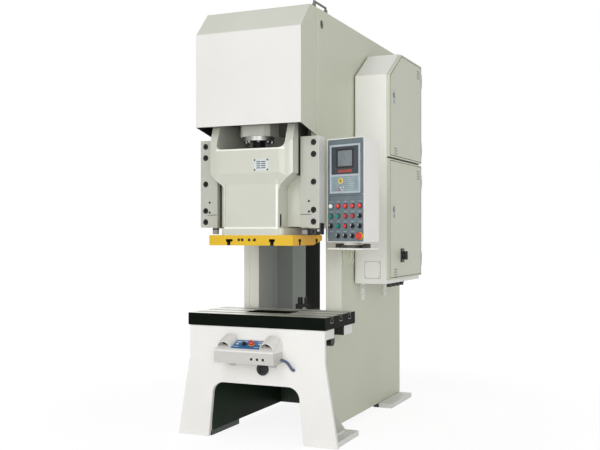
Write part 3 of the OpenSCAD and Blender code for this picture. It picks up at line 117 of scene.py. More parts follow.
def feed(tree, node, inputs):
    """Give a shader node's inputs their values, or links where the value is a socket."""
    for key, value in inputs.items():
        if isinstance(value, bpy.types.NodeSocket):
            tree.links.new(value, node.inputs[key])
        else:
            node.inputs[key].default_value = value


def add(tree, kind, inputs, **settings):
    """New shader node with its settings and inputs."""
    made = tree.nodes.new(kind)
    for key, value in settings.items():
        setattr(made, key, value)
    feed(tree, made, inputs)
    return made


def object_coords(tree):
    return add(tree, "ShaderNodeTexCoord", {}).outputs["Object"]


def noise(tree, scale, detail=3.0, roughness=0.55, stretch=None):
    """Noise field of the object's own place, optionally stretched along axes."""
    place = object_coords(tree)
    if stretch:
        place = add(tree, "ShaderNodeMapping", {"Vector": place, "Scale": stretch}).outputs["Vector"]
    settings = {"Vector": place, "Scale": scale, "Detail": detail, "Roughness": roughness}
    return add(tree, "ShaderNodeTexNoise", settings).outputs["Fac"]


def span(tree, value, low, high, from_low=0.0, from_high=1.0):
    """Value mapped from one range to another, held at the ends."""
    limits = {"From Min": from_low, "From Max": from_high, "To Min": low, "To Max": high}
    return add(tree, "ShaderNodeMapRange", {"Value": value, **limits}).outputs["Result"]


def clouds(tree, scale, detail, low, high):
    """Noise drawn apart into patches of zero and one with soft edges."""
    return span(tree, noise(tree, scale, detail), 0.0, 1.0, low, high)


def math_node(tree, operation, first, second):
    return add(tree, "ShaderNodeMath", {0: first, 1: second}, operation=operation).outputs["Value"]


def times(tree, first, second):
    return math_node(tree, "MULTIPLY", first, second)


def dot(tree, first, second):
    return add(tree, "ShaderNodeVectorMath", {0: first, 1: second}, operation="DOT_PRODUCT").outputs["Value"]


def mix(tree, factor, first, second):
    """Colour between two colours or colour sockets."""
    return add(tree, "ShaderNodeMix", {0: factor, 6: first, 7: second}, data_type="RGBA").outputs[2]


def bump(tree, shader, height, strength, distance):
    made = add(tree, "ShaderNodeBump", {"Height": height, "Strength": strength, "Distance": distance * MM})
    feed(tree, shader, {"Normal": made.outputs["Normal"]})


def edge_mask(tree, radius):
    """Close to one along sharp edges, where a rounded normal leaves the flat one."""
    rounded = add(tree, "ShaderNodeBevel", {"Radius": radius * MM}, samples=4).outputs["Normal"]
    flat = add(tree, "ShaderNodeNewGeometry", {}).outputs["Normal"]
    return span(tree, dot(tree, rounded, flat), 1.0, 0.0, 0.80, 0.99)


def facing(tree, axis, low=0.7, high=0.9):
    """One where the surface looks along an axis of the object, zero elsewhere."""
    normal = add(tree, "ShaderNodeTexCoord", {}).outputs["Normal"]
    return span(tree, dot(tree, normal, axis), 0.0, 1.0, low, high)


def inside_box(tree, low, high):
    """One inside a box of the object's own space, zero outside."""
    place = add(tree, "ShaderNodeSeparateXYZ", {0: object_coords(tree)})
    result = 1.0
    for socket, bottom, top in zip(place.outputs, low, high):
        for operation, limit in (("GREATER_THAN", bottom), ("LESS_THAN", top)):
            result = times(tree, result, math_node(tree, operation, socket, limit))
    return result


def paint_boxes(tree, base, coats):
    """Base colour with other coats inside boxes of the object's own space."""
    for colour, low, high in coats:
        base = mix(tree, inside_box(tree, low, high), base, colour)
    return base


def drifting(tree, colour, dark, scale, detail=4.0, low=0.35, high=0.65):
    """Colour that drifts softly between a darker and a slightly lighter tone."""
    return mix(tree, clouds(tree, scale, detail, low, high), shade(colour, dark), shade(colour, 1.02))


def handled(tree, base, mark, share, scale, squeeze, low, high):
    """Base colour with faint upright handling marks."""
    marks = noise(tree, scale, 6.0, 0.7, stretch=(1.0, 1.0, squeeze))
    return mix(tree, times(tree, span(tree, marks, 0.0, 1.0, low, high), share), base, mark)


def worn_and_highlit(tree, base, radius, share, edge_tone):
    """Base colour with a lighter one along sharp edges: partly rubbed wear, partly a painted highlight."""
    return mix(tree, times(tree, edge_mask(tree, radius), share), base, edge_tone)


# Finishes

def enamel(name, colour, roughness=0.38, edge_light=1.12, grime=0.93, coats=(), under=None):
    """Sprayed enamel: tone drift, handling marks, orange peel, edges lightened as wear and painted highlight,
    and painted shade on the underside.
    """
    tree, shader = start_material(name)
    base = drifting(tree, colour, 0.975, 1.7)
    base = handled(tree, base, shade(colour, grime), 0.45, 9.0, 0.25, 0.56, 0.78)
    base = worn_and_highlit(tree, base, 3.0, 0.75, shade(colour, edge_light))
    base = paint_boxes(tree, base, coats)
    # Faces that look down take the colour under, as painted shade.
    if under:
        base = mix(tree, facing(tree, -Z_AXIS), base, under)
    gloss = span(tree, noise(tree, 26.0, 5.0), roughness - 0.05, roughness + 0.09)
    feed(tree, shader, {"Base Color": base, "Roughness": gloss, "Specular IOR Level": 0.42})
    bump(tree, shader, noise(tree, 420.0, 2.0), 0.10, 0.4)


def cast_enamel(name, colour, coats):
    """Enamel over a sand casting: a coarser, wavier skin under the gloss, wide lighter edges as painted
    highlight, with other coats in boxes.
    """
    tree, shader = start_material(name)
    base = drifting(tree, colour, 0.965, 2.6, 5.0, 0.36, 0.64)
    # Wide lighter edges: painted highlight on the rims of the casting, partly wear.
    base = worn_and_highlit(tree, base, 7.0, 0.9, shade(colour, 1.28))
    gloss = span(tree, noise(tree, 18.0, 5.0), 0.26, 0.40)
    feed(tree, shader, {"Base Color": paint_boxes(tree, base, coats), "Roughness": gloss,
                        "Specular IOR Level": 0.45, "Coat Weight": 0.5, "Coat Roughness": 0.14})
    waves = times(tree, noise(tree, 14.0, 2.0), 3.0)
    bump(tree, shader, math_node(tree, "ADD", noise(tree, 150.0, 4.0), waves), 0.13, 0.6)


def side_enamel(name, colour, inner_axis):
    """Frame paint outside. Inward faces have painted shade in dark green below and in grey in the throat, and
    front faces there a lighter paint as painted light.
    """
    tree, shader = start_material(name)
    base = drifting(tree, colour, 0.97, 1.3)
    base = handled(tree, base, shade(colour, 0.93), 0.4, 7.0, 0.2, 0.57, 0.8)
    base = worn_and_highlit(tree, base, 3.0, 0.7, shade(colour, 1.13))
    cloud = clouds(tree, 6.0, 5.0, 0.35, 0.65)
    inward = facing(tree, inner_axis)
    # Inward faces below the bed: painted shade in dark green.
    inner_green_shade = times(tree, inside_box(tree, *INNER_SHADE_BOX), inward)
    base = mix(tree, inner_green_shade, base, mix(tree, cloud, shade(INNER_SHADE_GREEN, 0.8), INNER_SHADE_GREEN))
    in_throat = inside_box(tree, *THROAT_BOX)
    dark_faces = times(tree, in_throat, inward)
    # Inward faces in the throat: painted shade in grey, in bands from front to rear.
    throat_shade = mix(tree, cloud, THROAT_SHADE_GREY, shade(THROAT_SHADE_GREY, 0.9))
    base = mix(tree, dark_faces, base, paint_boxes(tree, throat_shade, THROAT_SHADE_BANDS))
    # Faces in the throat that look to the front: painted light in a lighter paint.
    base = mix(tree, times(tree, in_throat, facing(tree, -Y_AXIS)), base, LIT_COLUMN_ENAMEL)
    dull = times(tree, inside_box(tree, *THROAT_SHADE_BANDS[-1][1:]), dark_faces)
    shine = times(tree, span(tree, dark_faces, 0.4, 0.3), span(tree, dull, 1.0, 0.0))
    shine = times(tree, shine, span(tree, inner_green_shade, 1.0, 0.1))
    gloss = span(tree, noise(tree, 24.0, 5.0), 0.34, 0.48)
    feed(tree, shader, {"Base Color": base, "Roughness": gloss, "Specular IOR Level": shine})
    bump(tree, shader, noise(tree, 380.0, 2.0), 0.10, 0.4)


def ground_metal(name, colour, roughness, stretch, scale, metallic):
    """Machined metal with fine grinding lines along one axis and cloudy handling stains."""
    tree, shader = start_material(name)
    lines = noise(tree, scale, 2.0, 0.6, stretch=stretch)
    base = mix(tree, clouds(tree, 12.0, 5.0, 0.4, 0.68), colour, shade(colour, 0.8))
    base = mix(tree, span(tree, lines, 0.0, 0.35), base, shade(colour, 1.25))
    gloss = span(tree, lines, roughness - 0.07, roughness + 0.12)
    feed(tree, shader, {"Base Color": base, "Roughness": gloss, "Metallic": metallic})
    bump(tree, shader, lines, 0.12, 0.15)


def bolster_iron(name):
    """Dark sides under a film of oil and a ground working face, with lighter slot and rim edges as wear and
    painted highlight.
    """
    tree, shader = start_material(name)
    top = facing(tree, Z_AXIS, 0.6, 0.9)
    lines = noise(tree, 700.0, 2.0, 0.6, stretch=(0.03, 1.0, 1.0))
    stains = clouds(tree, 5.0, 5.0, 0.36, 0.66)
    ground = mix(tree, stains, BOLSTER_TOP, shade(BOLSTER_TOP, 0.72))
    ground = mix(tree, span(tree, lines, 0.0, 0.4), ground, shade(BOLSTER_TOP, 1.25))
    dark_faces = mix(tree, stains, BOLSTER_SIDE, shade(BOLSTER_SIDE, 0.7))
    dark_faces = worn_and_highlit(tree, dark_faces, 2.0, 0.6, shade(BOLSTER_TOP, 0.9))
    feed(tree, shader, {"Base Color": mix(tree, top, dark_faces, ground), "Metallic": span(tree, top, 0.0, 0.35),
                        "Specular IOR Level": span(tree, top, 0.02, 0.5),
                        "Roughness": span(tree, lines, 0.32, 0.52)})
    bump(tree, shader, lines, 0.1, 0.2)


def plastic(name, colour, roughness, grain, depth, coat_weight):
    """Moulded plastic with a fine spark-eroded grain and slight fading."""
    tree, shader = start_material(name)
    base = mix(tree, clouds(tree, 30.0, 3.0, 0.35, 0.7), colour, shade(colour, 1.18))
    gloss = span(tree, noise(tree, 90.0, 4.0), roughness - 0.06, roughness + 0.1)
    feed(tree, shader, {"Base Color": base, "Roughness": gloss,
                        "Coat Weight": coat_weight, "Coat Roughness": 0.12})
    bump(tree, shader, noise(tree, grain * 6.0, 2.0), depth, 0.12)


def lens(name, colour, glow):
    """Coloured lamp lens: pressed facets, a faint glow and a glossy skin."""
    tree, shader = start_material(name)
    cells = add(tree, "ShaderNodeTexVoronoi", {"Vector": object_coords(tree), "Scale": 420.0})
    facets = span(tree, cells.outputs["Distance"], 0.0, 1.0, 0.0, 0.7)
    base = mix(tree, facets, shade(colour, 1.15), shade(colour, 0.8))
    gloss = span(tree, noise(tree, 200.0), 0.10, 0.22)
    feed(tree, shader, {"Base Color": base, "Roughness": gloss, "Coat Weight": 0.5,
                        "Emission Color": colour, "Emission Strength": glow})
    bump(tree, shader, facets, 0.25, 0.3)


def woven(name, colour):
    """Woven sleeve of the conduit, over the moulded rings of its mesh."""
    tree, shader = start_material(name)
    weave = noise(tree, 1600.0, 2.0, 0.6, stretch=(1.0, 1.0, 0.4))
    base = mix(tree, weave, shade(colour, 0.7), shade(colour, 1.25))
    feed(tree, shader, {"Base Color": base, "Roughness": span(tree, weave, 0.4, 0.6)})
    bump(tree, shader, weave, 0.3, 0.25)


# Coats: a second colour inside boxes of a solid's own space, given by spans along X, Y and Z

def box(*spans):
    """Low and high corner of a box."""
    return tuple(zip(*spans))


def coat(colour, *spans):
    return (colour, *box(*spans))


def mirrored(colour, across, *others):
    """Coats on the right and on the left of the middle plane."""
    return (coat(colour, across, *others), coat(colour, (-across[1], -across[0]), *others))


# Side plates: painted shade in dark green below the bed's level and in grey above it, with bands from front
# to rear
BETWEEN_SIDES, BED_LEVEL, REAR = (-0.40, 0.40), 0.66, 0.90
INNER_SHADE_BOX = box(BETWEEN_SIDES, (-0.96, REAR), (0.0, BED_LEVEL))
THROAT_BOX = box(BETWEEN_SIDES, (-0.44, REAR), (BED_LEVEL, 1.72))
THROAT_HEIGHT = (0.6, 2.0)
BAND_EDGES = (0.015, 0.28, 0.53, REAR)
BAND_COLOURS = (DARKER_SHADE_BAND, LIGHTER_SHADE_BAND, shade(THROAT_SHADE_GREY, 0.14))
THROAT_SHADE_BANDS = [coat(colour, BETWEEN_SIDES, depth, THROAT_HEIGHT)
                for colour, depth in zip(BAND_COLOURS, zip(BAND_EDGES, BAND_EDGES[1:]))]
# Slide: painted highlight on the rims of saddle, nose and base, and painted shadow on the guide faces beside
# the gibs, in the knock-out slot and on the shoulders
NOSE_RIM = ((-1.036, -1.027), (1.29, 1.55))
RIM_HIGHLIGHT_BOXES = (
    ((-0.228, 0.228), (-1.06, -0.99), (1.759, 1.7705)),
    ((0.1665, 0.1865), *NOSE_RIM),
    ((-0.1865, -0.1765), *NOSE_RIM),
    ((-0.184, 0.184), (-1.036, -1.02), (1.287, 1.298)),
)
GUIDE_GAP_SHADOW = ((0.268, 0.32), (-0.897, -0.83), (1.25, 1.62))
KNOCK_OUT = ((-0.181, 0.181), (-1.006, -0.976), (1.296, 1.378))
SHOULDER = ((0.262, 0.30), (-0.946, -0.80), (1.605, 1.92))
SLIDE_COATS = [coat(RIM_HIGHLIGHT, *rim) for rim in RIM_HIGHLIGHT_BOXES]
SLIDE_COATS += [*mirrored(DARK_IRON_AND_SHADE, *GUIDE_GAP_SHADOW), *mirrored(DARK_IRON_AND_SHADE, *SHOULDER)]
SLIDE_COATS.append(coat(DARK_IRON_AND_SHADE, *KNOCK_OUT))
# Pendant arm: oiled swivel, and frame paint on its foot
ARM_SWIVEL = ((0.3, 0.9), (-1.1, -0.6), (1.1735, 1.21))
ARM_FOOT = ((0.30, 0.52), (-0.80, -0.20), (0.90, 1.16))
ARM_COATS = (coat(DARK_IRON_AND_SHADE, *ARM_SWIVEL), coat(FRAME_ENAMEL, *ARM_FOOT))
# Hood: frame paint outside its wings, and painted shade on their inner faces
HOOD_DEPTH, WING_INNER, WING_OUTER = (-1.2, -0.8), (0.342, 0.3475), (0.3475, 0.36)
HOOD_COATS = mirrored(FRAME_ENAMEL, WING_OUTER, HOOD_DEPTH, (1.8, 2.7))
HOOD_COATS += mirrored(BOLSTER_SIDE, WING_INNER, HOOD_DEPTH, (1.8, 2.2))
# Pipe on the crown, and painted light in white on the outer faces of the gibs
PIPE_COATS = (coat(PIPE_GREY, (-0.6, 0.6), (-1.0, 0.6), (2.60, 2.80)),)
GIB_SIDE_LIGHT_COATS = mirrored(WHITE_ENAMEL, (0.4015, 0.41), (-1.0, -0.8), (1.2, 1.9))
# Bed: shadow lines at the side plates and at the wings
BED_HEIGHT = (0.60, 0.70)
BED_COATS = mirrored(DARK_IRON_AND_SHADE, (0.30, 0.40), (-0.8145, -0.38), BED_HEIGHT)
BED_COATS += mirrored(DARK_IRON_AND_SHADE, (0.355, 0.463), (-0.655, -0.6505), BED_HEIGHT)
# Painted shade in grey on the inner faces of the columns in the throat
COLUMN_COATS = mirrored(THROAT_SHADE_GREY, (0.2415, 0.2445), (-0.426, -0.15), THROAT_HEIGHT)
# Feet: painted shade in dark green inside, and painted shade in grey on the gussets
FOOT_COATS = (coat(INNER_SHADE_GREEN, (-0.357, 0.357), (-1.0, REAR), (-0.01, 0.2)),)
FOOT_COATS += mirrored(GIB_ENAMEL, (0.357, 0.55), (-0.96, -0.5), (0.045, 0.40))
# Lower part of the two-hand box
BOX_COATS = (coat(BOX_ENAMEL, (-0.30, 0.30), (-1.2, -0.9), (0.40, 0.553)),)
# Slide plate: a lighter, deeper yellow on its ends as painted light, and painted shade on the walls around
# neck and head of its T-slots
PLATE_DEPTH, PLATE_END, PLATE_HEIGHT = (-1.1, -0.5), (0.2785, 0.30), (1.15, 1.26)
NECK_HALF, HEAD_HALF, SLOT_FOOT, SLOT_STEP, SLOT_TOP = 0.0117, 0.0192, 1.18, 1.2085, 1.2255
FRONT_SLOT_X, SIDE_SLOT_X, SIDE_SLOTS_Y = 0.145, (0.17, 0.30), (-0.929, -0.670)


def plate_coats():
    coats = list(mirrored(LIT_YELLOW_END, PLATE_END, PLATE_DEPTH, PLATE_HEIGHT))
    for half, foot in ((NECK_HALF, SLOT_FOOT), (HEAD_HALF, SLOT_STEP)):
        height = (foot, SLOT_TOP)
        coats += mirrored(DARK_IRON_AND_SHADE, (FRONT_SLOT_X - half, FRONT_SLOT_X + half), PLATE_DEPTH, height)
        for y in SIDE_SLOTS_Y:
            coats += mirrored(DARK_IRON_AND_SHADE, SIDE_SLOT_X, (y - half, y + half), height)
    return coats


enamel("white", WHITE_ENAMEL, grime=0.955)
# A lighter copy of the white enamel: painted light on the leg plate, the cabinet shell and the cover plate
enamel("bright", srgb(244, 243, 239), grime=0.955)
enamel("case", WHITE_ENAMEL, 0.34, grime=0.96)
enamel("frame", FRAME_ENAMEL)
# Faces of hood, hood front and crown that look down: painted shade. The hood front is also a slightly darker
# copy of the white enamel, as painted shade.
enamel("hood", srgb(214, 216, 204), grime=0.95, coats=HOOD_COATS, under=BOLSTER_SIDE)
enamel("hood_front", shade(WHITE_ENAMEL, 0.95), grime=0.955, under=BOLSTER_SIDE)
enamel("crown", FRAME_ENAMEL, under=DARK_IRON_AND_SHADE)
enamel("fitting", srgb(30, 30, 31), 0.5, edge_light=1.5, coats=PIPE_COATS)
enamel("gib", GIB_ENAMEL, 0.42, edge_light=1.35, coats=GIB_SIDE_LIGHT_COATS)
# Columns in the lighter paint as painted light, with painted shade in grey on their inner faces
enamel("column", LIT_COLUMN_ENAMEL, coats=COLUMN_COATS)
enamel("foot", WHITE_ENAMEL, coats=FOOT_COATS)
enamel("bed", WHITE_ENAMEL, coats=BED_COATS)
enamel("door", shade(FRAME_ENAMEL, 1.02), 0.36)
# Rear tie plate in dark green painted shade.
enamel("inner", INNER_SHADE_GREEN, 0.5, edge_light=1.4)
enamel("arm", WHITE_ENAMEL, grime=0.955, coats=ARM_COATS)
enamel("box", WHITE_ENAMEL, 0.36, grime=0.95, coats=BOX_COATS)
enamel("yellow", srgb(226, 184, 32), 0.32, edge_light=1.1, grime=0.86, coats=plate_coats())
enamel("grey_iron", srgb(150, 147, 144), 0.5, edge_light=1.2)
enamel("motor", srgb(70, 76, 80), 0.5, edge_light=1.4)
side_enamel("side_left", FRAME_ENAMEL, X_AXIS)
side_enamel("side_right", FRAME_ENAMEL, -X_AXIS)
cast_enamel("slide", srgb(203, 205, 192), SLIDE_COATS)
bolster_iron("bolster")
woven("conduit", srgb(84, 96, 122))
# Metals: colour, roughness, stretch and scale of the grinding lines, and how metallic they are
METALS = {
    "steel": ((178, 180, 178), 0.3, (0.02, 1.0, 1.0), 900.0, 1.0),
    "plate": ((204, 210, 210), 0.45, (0.03, 1.0, 1.0), 600.0, 0.2),
    "gear": ((150, 151, 148), 0.34, (1.0, 1.0, 0.05), 500.0, 1.0),
    "dark_steel": ((62, 64, 63), 0.36, (1.0, 1.0, 0.1), 400.0, 0.9),
    "oxide": ((34, 35, 34), 0.4, (1.0, 0.1, 1.0), 300.0, 0.6),
    "zinc": ((196, 194, 176), 0.42, (1.0, 0.05, 1.0), 300.0, 0.75),
    "brass": ((186, 152, 84), 0.3, (1.0, 1.0, 0.1), 400.0, 1.0),
}
# Plastics and films: colour, roughness, grain, depth of the grain and clear coat
PLASTICS = {
    "black": ((28, 29, 30), 0.42, 260.0, 0.12, 0.0),
    "dark": ((58, 63, 68), 0.42, 260.0, 0.12, 0.0),
    "rubber": ((30, 30, 31), 0.62, 180.0, 0.25, 0.0),
    "seam": ((50, 52, 44), 0.6, 200.0, 0.05, 0.0),
    "plate_ink": ((84, 92, 94), 0.5, 260.0, 0.05, 0.0),
    "ink": ((226, 229, 228), 0.5, 260.0, 0.05, 0.0),
    "panel": ((102, 115, 121), 0.46, 320.0, 0.18, 0.0),
    "module": ((136, 153, 158), 0.4, 320.0, 0.12, 0.0),
    "silver": ((176, 186, 192), 0.32, 300.0, 0.08, 0.0),
    "screen": ((112, 122, 126), 0.18, 120.0, 0.02, 0.6),
    "red": ((206, 38, 34), 0.28, 200.0, 0.05, 0.4),
    "green": ((24, 142, 118), 0.28, 200.0, 0.05, 0.4),
    "signal": ((240, 205, 40), 0.36, 200.0, 0.06, 0.2),
    "blue": ((26, 102, 156), 0.3, 260.0, 0.06, 0.3),
    "deep_blue": ((20, 52, 86), 0.3, 260.0, 0.06, 0.3),
    "pink": ((196, 70, 116), 0.4, 260.0, 0.05, 0.0),
}
# Lenses: colour and glow
LENSES = {
    "digits": ((214, 76, 44), 0.45), "lamp_red": ((224, 52, 50), 0.12), "lamp_white": ((238, 240, 238), 0.12),
}
for maker, table in ((ground_metal, METALS), (plastic, PLASTICS), (lens, LENSES)):
    for name, (colour, *settings) in table.items():
        maker(name, srgb(*colour), *settings)


def by_name(table):
    """Value of each name, from a table of the names that share a value."""
    return {name: value for value, names in table.items() for name in names.split()}


NODE_FINISH = by_name({
    "side_left": "side_plate_left", "side_right": "side_plate_right", "column": "columns", "bed": "bed_plate",
    "bright": "leg_plate cabinet_shell", "white": "cabinet_brackets", "crown": "crown_box", "foot": "feet",
    "inner": "rear_tie_plate", "hood": "hood_shell", "hood_front": "hood_front", "bolster": "bolster",
    "gib": "guide_rails gibs drive_head", "oxide": "gib_bolts", "motor": "servo_motor",
    "gear": "bearing_ring ball_nut nut_gear motor_pinion", "dark_steel": "drive_screw", "dark": "servo_drive",
    "slide": "slide_casting", "yellow": "slide_plate", "door": "upper_door lower_door",
    "steel": "upper_lock lower_lock", "arm": "pendant_arm", "case": "pendant_case", "panel": "pendant_panel",
    "silver": "display_module", "box": "two_hand_box", "blue": "two_hand_panel", "conduit": "conduit",
    "fitting": "air_fittings", "zinc": "mounting_panel",
    "red": "pendant_estop box_estop push_button_3 push_button_4 push_button_6",
    "green": "push_button_1 push_button_2 push_button_5",
    "black": "cabinet_glands switch_base main_switch palm_button_left palm_button_right box_selector",
})
SELECTORS = 7
for index in range(1, SELECTORS + 1):
    NODE_FINISH[f"selector_{index}"] = "black"

# Edge rounding of the large solids, in millimetres
EDGE_ROUNDS = by_name({
    0.8: "two_hand_box", 1.0: "cabinet_shell upper_door lower_door pendant_case switch_base",
    1.5: "guide_rails hood_shell bolster display_module main_switch pendant_arm cabinet_brackets",
    2.0: "crown_box feet slide_plate", 2.5: "bed_plate hood_front",
    3.0: "side_plate_left side_plate_right columns gibs drive_head", 4.0: "leg_plate", 6.0: "slide_casting",
})
WELD_GAP = 0.02
FLAT_ANGLE = math.radians(0.4)
SHARP_ANGLE = math.radians(32)
CASTING_ANGLE = math.radians(12)


def round_edges(obj, width, angle, harden):
    rounding = obj.modifiers.new("edge_round", "BEVEL")
    rounding.width = width * MM
    rounding.segments = 2
    rounding.limit_method = "ANGLE"
    rounding.angle_limit = angle
    rounding.use_clamp_overlap = True
    rounding.harden_normals = harden


def dress_nodes():
    for name, obj in nodes.items():
        obj.data.materials.clear()
        obj.data.materials.append(FINISH[NODE_FINISH[name]])
        if name not in EDGE_ROUNDS:
            continue
        weld = obj.modifiers.new("weld", "WELD")
        weld.merge_threshold = WELD_GAP * MM
        flat = obj.modifiers.new("flat_faces", "DECIMATE")
        flat.decimate_type = "DISSOLVE"
        flat.angle_limit = FLAT_ANGLE
        round_edges(obj, EDGE_ROUNDS[name], CASTING_ANGLE if name == "slide_casting" else SHARP_ANGLE, True)
        obj.modifiers.new("normals", "WEIGHTED_NORMAL")


# Mesh helpers: sizes in millimetres, at a place that a matrix gives

def looking(origin, outward):
    """Place on a face: Z out of the face, Y as close to up as it can be, X to the right seen from outside."""
    z = Vector(outward).normalized()
    x = Z_AXIS.cross(z).normalized()
    turned = Matrix((x, z.cross(x), z)).transposed().to_4x4()
    return Matrix.Translation(Vector(origin)) @ turned


def shift(x, y, z=0.0):
    return Matrix.Translation((x * MM, y * MM, z * MM))


def at_corners(face, width, height, level):
    return [face @ shift(sx * width / 2, sy * height / 2, level) for sx, sy in CORNERS]


def circle(radius, count):
    angles = [2 * math.pi * i / count for i in range(count)]
    return [(radius * math.cos(angle), radius * math.sin(angle)) for angle in angles]


def row(mesh, place, points, height):
    """Row of vertices at a height over the face."""
    return [mesh.verts.new(place @ Vector((x * MM, y * MM, height * MM))) for x, y in points]


def bridge(mesh, rows):
    """Faces from each row of vertices to the next, all round."""
    for first, second in zip(rows, rows[1:]):
        for i in range(len(first)):
            j = (i + 1) % len(first)
            mesh.faces.new((first[i], first[j], second[j], second[i]))


def close_tube(mesh, rows):
    """Faces along a tube of rows and over its two ends."""
    bridge(mesh, rows)
    mesh.faces.new(list(reversed(rows[0])))
    mesh.faces.new(rows[-1])


def lathe(mesh, place, profile, count):
    """Turned solid. The profile runs from axis to axis as radius and height."""
    rows = [row(mesh, place, circle(radius, count if radius else 1), height) for radius, height in profile]
    for first, second in zip(rows, rows[1:]):
        for i in range(count):
            corners = [first[i % len(first)], first[(i + 1) % len(first)],
                       second[(i + 1) % len(second)], second[i % len(second)]]
            corners = list(dict.fromkeys(corners))
            if len(corners) > 2:
                mesh.faces.new(corners)


def disc(mesh, place, radius, low, high, count):
    lathe(mesh, place, [(0, low), (radius, low), (radius, high), (0, high)], count)


def fitting(mesh, place, wide, shoulder, narrow, cone, top, count):
    """Turned fitting: a wide foot up to its shoulder, a short cone and a narrow neck."""
    lathe(mesh, place, [(0, 0), (wide, 0), (wide, shoulder), (narrow, cone), (narrow, top), (0, top)], count)


def dome(mesh, place, radius, height, skirt, count):
    """Round-headed button or rivet with a short straight skirt."""
    steps = 6
    angles = [step * math.pi / 2 / steps for step in range(1, steps)]
    curve = [(radius * math.cos(angle), skirt + height * math.sin(angle)) for angle in angles]
    lathe(mesh, place, [(0, 0), (radius, 0), (radius, skirt), *curve, (0, skirt + height)], count)


def ring(mesh, place, inner, outer, low, high, chamfer, count):
    """Closed turned ring of rectangular section with chamfered upper edges."""
    section = [(inner, low), (outer, low), (outer, high - chamfer), (outer - chamfer, high),
               (inner + chamfer, high), (inner, high - chamfer)]
    rows = [row(mesh, place, circle(radius, count), height) for radius, height in section]
    bridge(mesh, rows + rows[:1])


def slab(mesh, place, size, low, high, inset=0.0, steps=3, centre=(0.0, 0.0)):
    """Slab of a width, height and corner radius, with its upper edge drawn in by an inset."""
    width, height, radius = size
    middle = Vector(centre)
    outline = []
    for quarter, (sx, sy) in enumerate(CORNERS):
        corner_x = centre[0] + sx * (width / 2 - radius)
        corner_y = centre[1] + sy * (height / 2 - radius)
        for step in range(steps + 1):
            angle = (quarter + step / steps) * math.pi / 2
            outline.append(Vector((corner_x + radius * math.cos(angle), corner_y + radius * math.sin(angle))))
    rows = [row(mesh, place, outline, low)]
    if inset:
        rows.append(row(mesh, place, outline, high - inset))
    rows.append(row(mesh, place, [point - (point - middle).normalized() * inset for point in outline], high))
    close_tube(mesh, rows)


def inset_polygon(points, distance):
    """Convex outline, run counter-clockwise, drawn in by a distance."""
    drawn = []
    for before, here, after in zip(points[-1:] + points[:-1], points, points[1:] + points[:1]):
        first = (Vector(here) - Vector(before)).normalized()
        second = (Vector(after) - Vector(here)).normalized()
        inward = Vector((-first.y, first.x)) + Vector((-second.y, second.x))
        drawn.append(Vector(here) + inward * distance / (1 + first.dot(second)))
    return drawn


def seam(mesh, place, outline, inset, width, height):
    """Thin closed strip that follows an outline at an inset."""
    section = ((inset, 0.0), (inset, height), (inset + width, height), (inset + width, 0.0))
    rows = [row(mesh, place, inset_polygon(outline, reach), level) for reach, level in section]
    bridge(mesh, rows + rows[:1])


def socket_screw(mesh, place, radius, height):
    """Cap screw head: chamfered rim and a hexagon socket."""
    sides, per_side = 6, 4
    hexagon, depth = circle(radius * 0.52, sides), height * 0.6
    rim = [row(mesh, place, circle(r, sides * per_side), z)
           for r, z in ((radius, 0.0), (radius, height * 0.85), (radius * 0.9, height))]
    bridge(mesh, rim)
    bottom, lip = row(mesh, place, hexagon, height - depth), row(mesh, place, hexagon, height)
    bridge(mesh, [lip, bottom])
    for i in range(sides):
        arc = [rim[-1][(per_side * i + k) % len(rim[-1])] for k in range(per_side + 1)]
        mesh.faces.new(arc + [lip[(i + 1) % sides], lip[i]])
    mesh.faces.new(list(reversed(bottom)))
    mesh.faces.new(list(reversed(rim[0])))


def link_mesh(name, mesh, finish):
    data = bpy.data.meshes.new(name)
    mesh.to_mesh(data)
    mesh.free()
    data.materials.append(FINISH[finish])
    obj = bpy.data.objects.new(name, data)
    bpy.context.scene.collection.objects.link(obj)
    return obj


def piece(name, body, finish, mesh, round_width=0.0):
    """Object made from a mesh, riding on a body with a finish."""
    bmesh.ops.recalc_face_normals(mesh, faces=mesh.faces)
    obj = link_mesh(name, mesh, finish)
    obj.data.polygons.foreach_set("use_smooth", [True] * len(obj.data.polygons))
    obj.data.set_sharp_from_angle(angle=SHARP_ANGLE)
    if round_width:
        round_edges(obj, round_width, SHARP_ANGLE, False)
    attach(obj, body)
    return obj


def trim(name, body, finish, slot, places, form, *sizes, round_width=0.0, **settings):
    """Piece made of one form at each of its places."""
    mesh = bmesh.new()
    for place in places:
        form(mesh, place, *sizes, **settings)
    piece(name, body, finish, mesh, round_width)


# Slide: name plate with plain bars, plugs of the slide plate, and the screw with its thread

def make_slide_trim():
    low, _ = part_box("slide_casting")
    width, height, thick, margin, lines = 100, 74, 2, 8, 4
    middle_x, rise = 79, 419
    face = looking((middle_x * MM, low.y, low.z + rise * MM), -Y_AXIS)
    corners = at_corners(face, width - 2 * margin, height - 2 * margin, thick)
    trim("name_plate", "slide", "plate", "machined_steel", [face],
         slab, (width, height, 4), low=0.0, high=thick, inset=0.4, steps=5)
    trim("name_plate_rivets", "slide", "oxide", "black_steel", corners,
         dome, radius=5.5, height=2.4, skirt=0.6, count=16)
    mesh = bmesh.new()
    for line in range(lines):
        y = (line - (lines - 1) / 2) * height / (lines + 2)
        for x, bar_width in ((-17, 26), (16, 30)):
            slab(mesh, face, (bar_width, 6.5, 1), thick, thick + 0.3, steps=2, centre=(x, y))
    piece("name_plate_bars", "slide", "plate_ink", mesh)


PLATE_PLUGS_X, PLATE_PLUGS_RISE = (-76, -53, -6, 31), 3


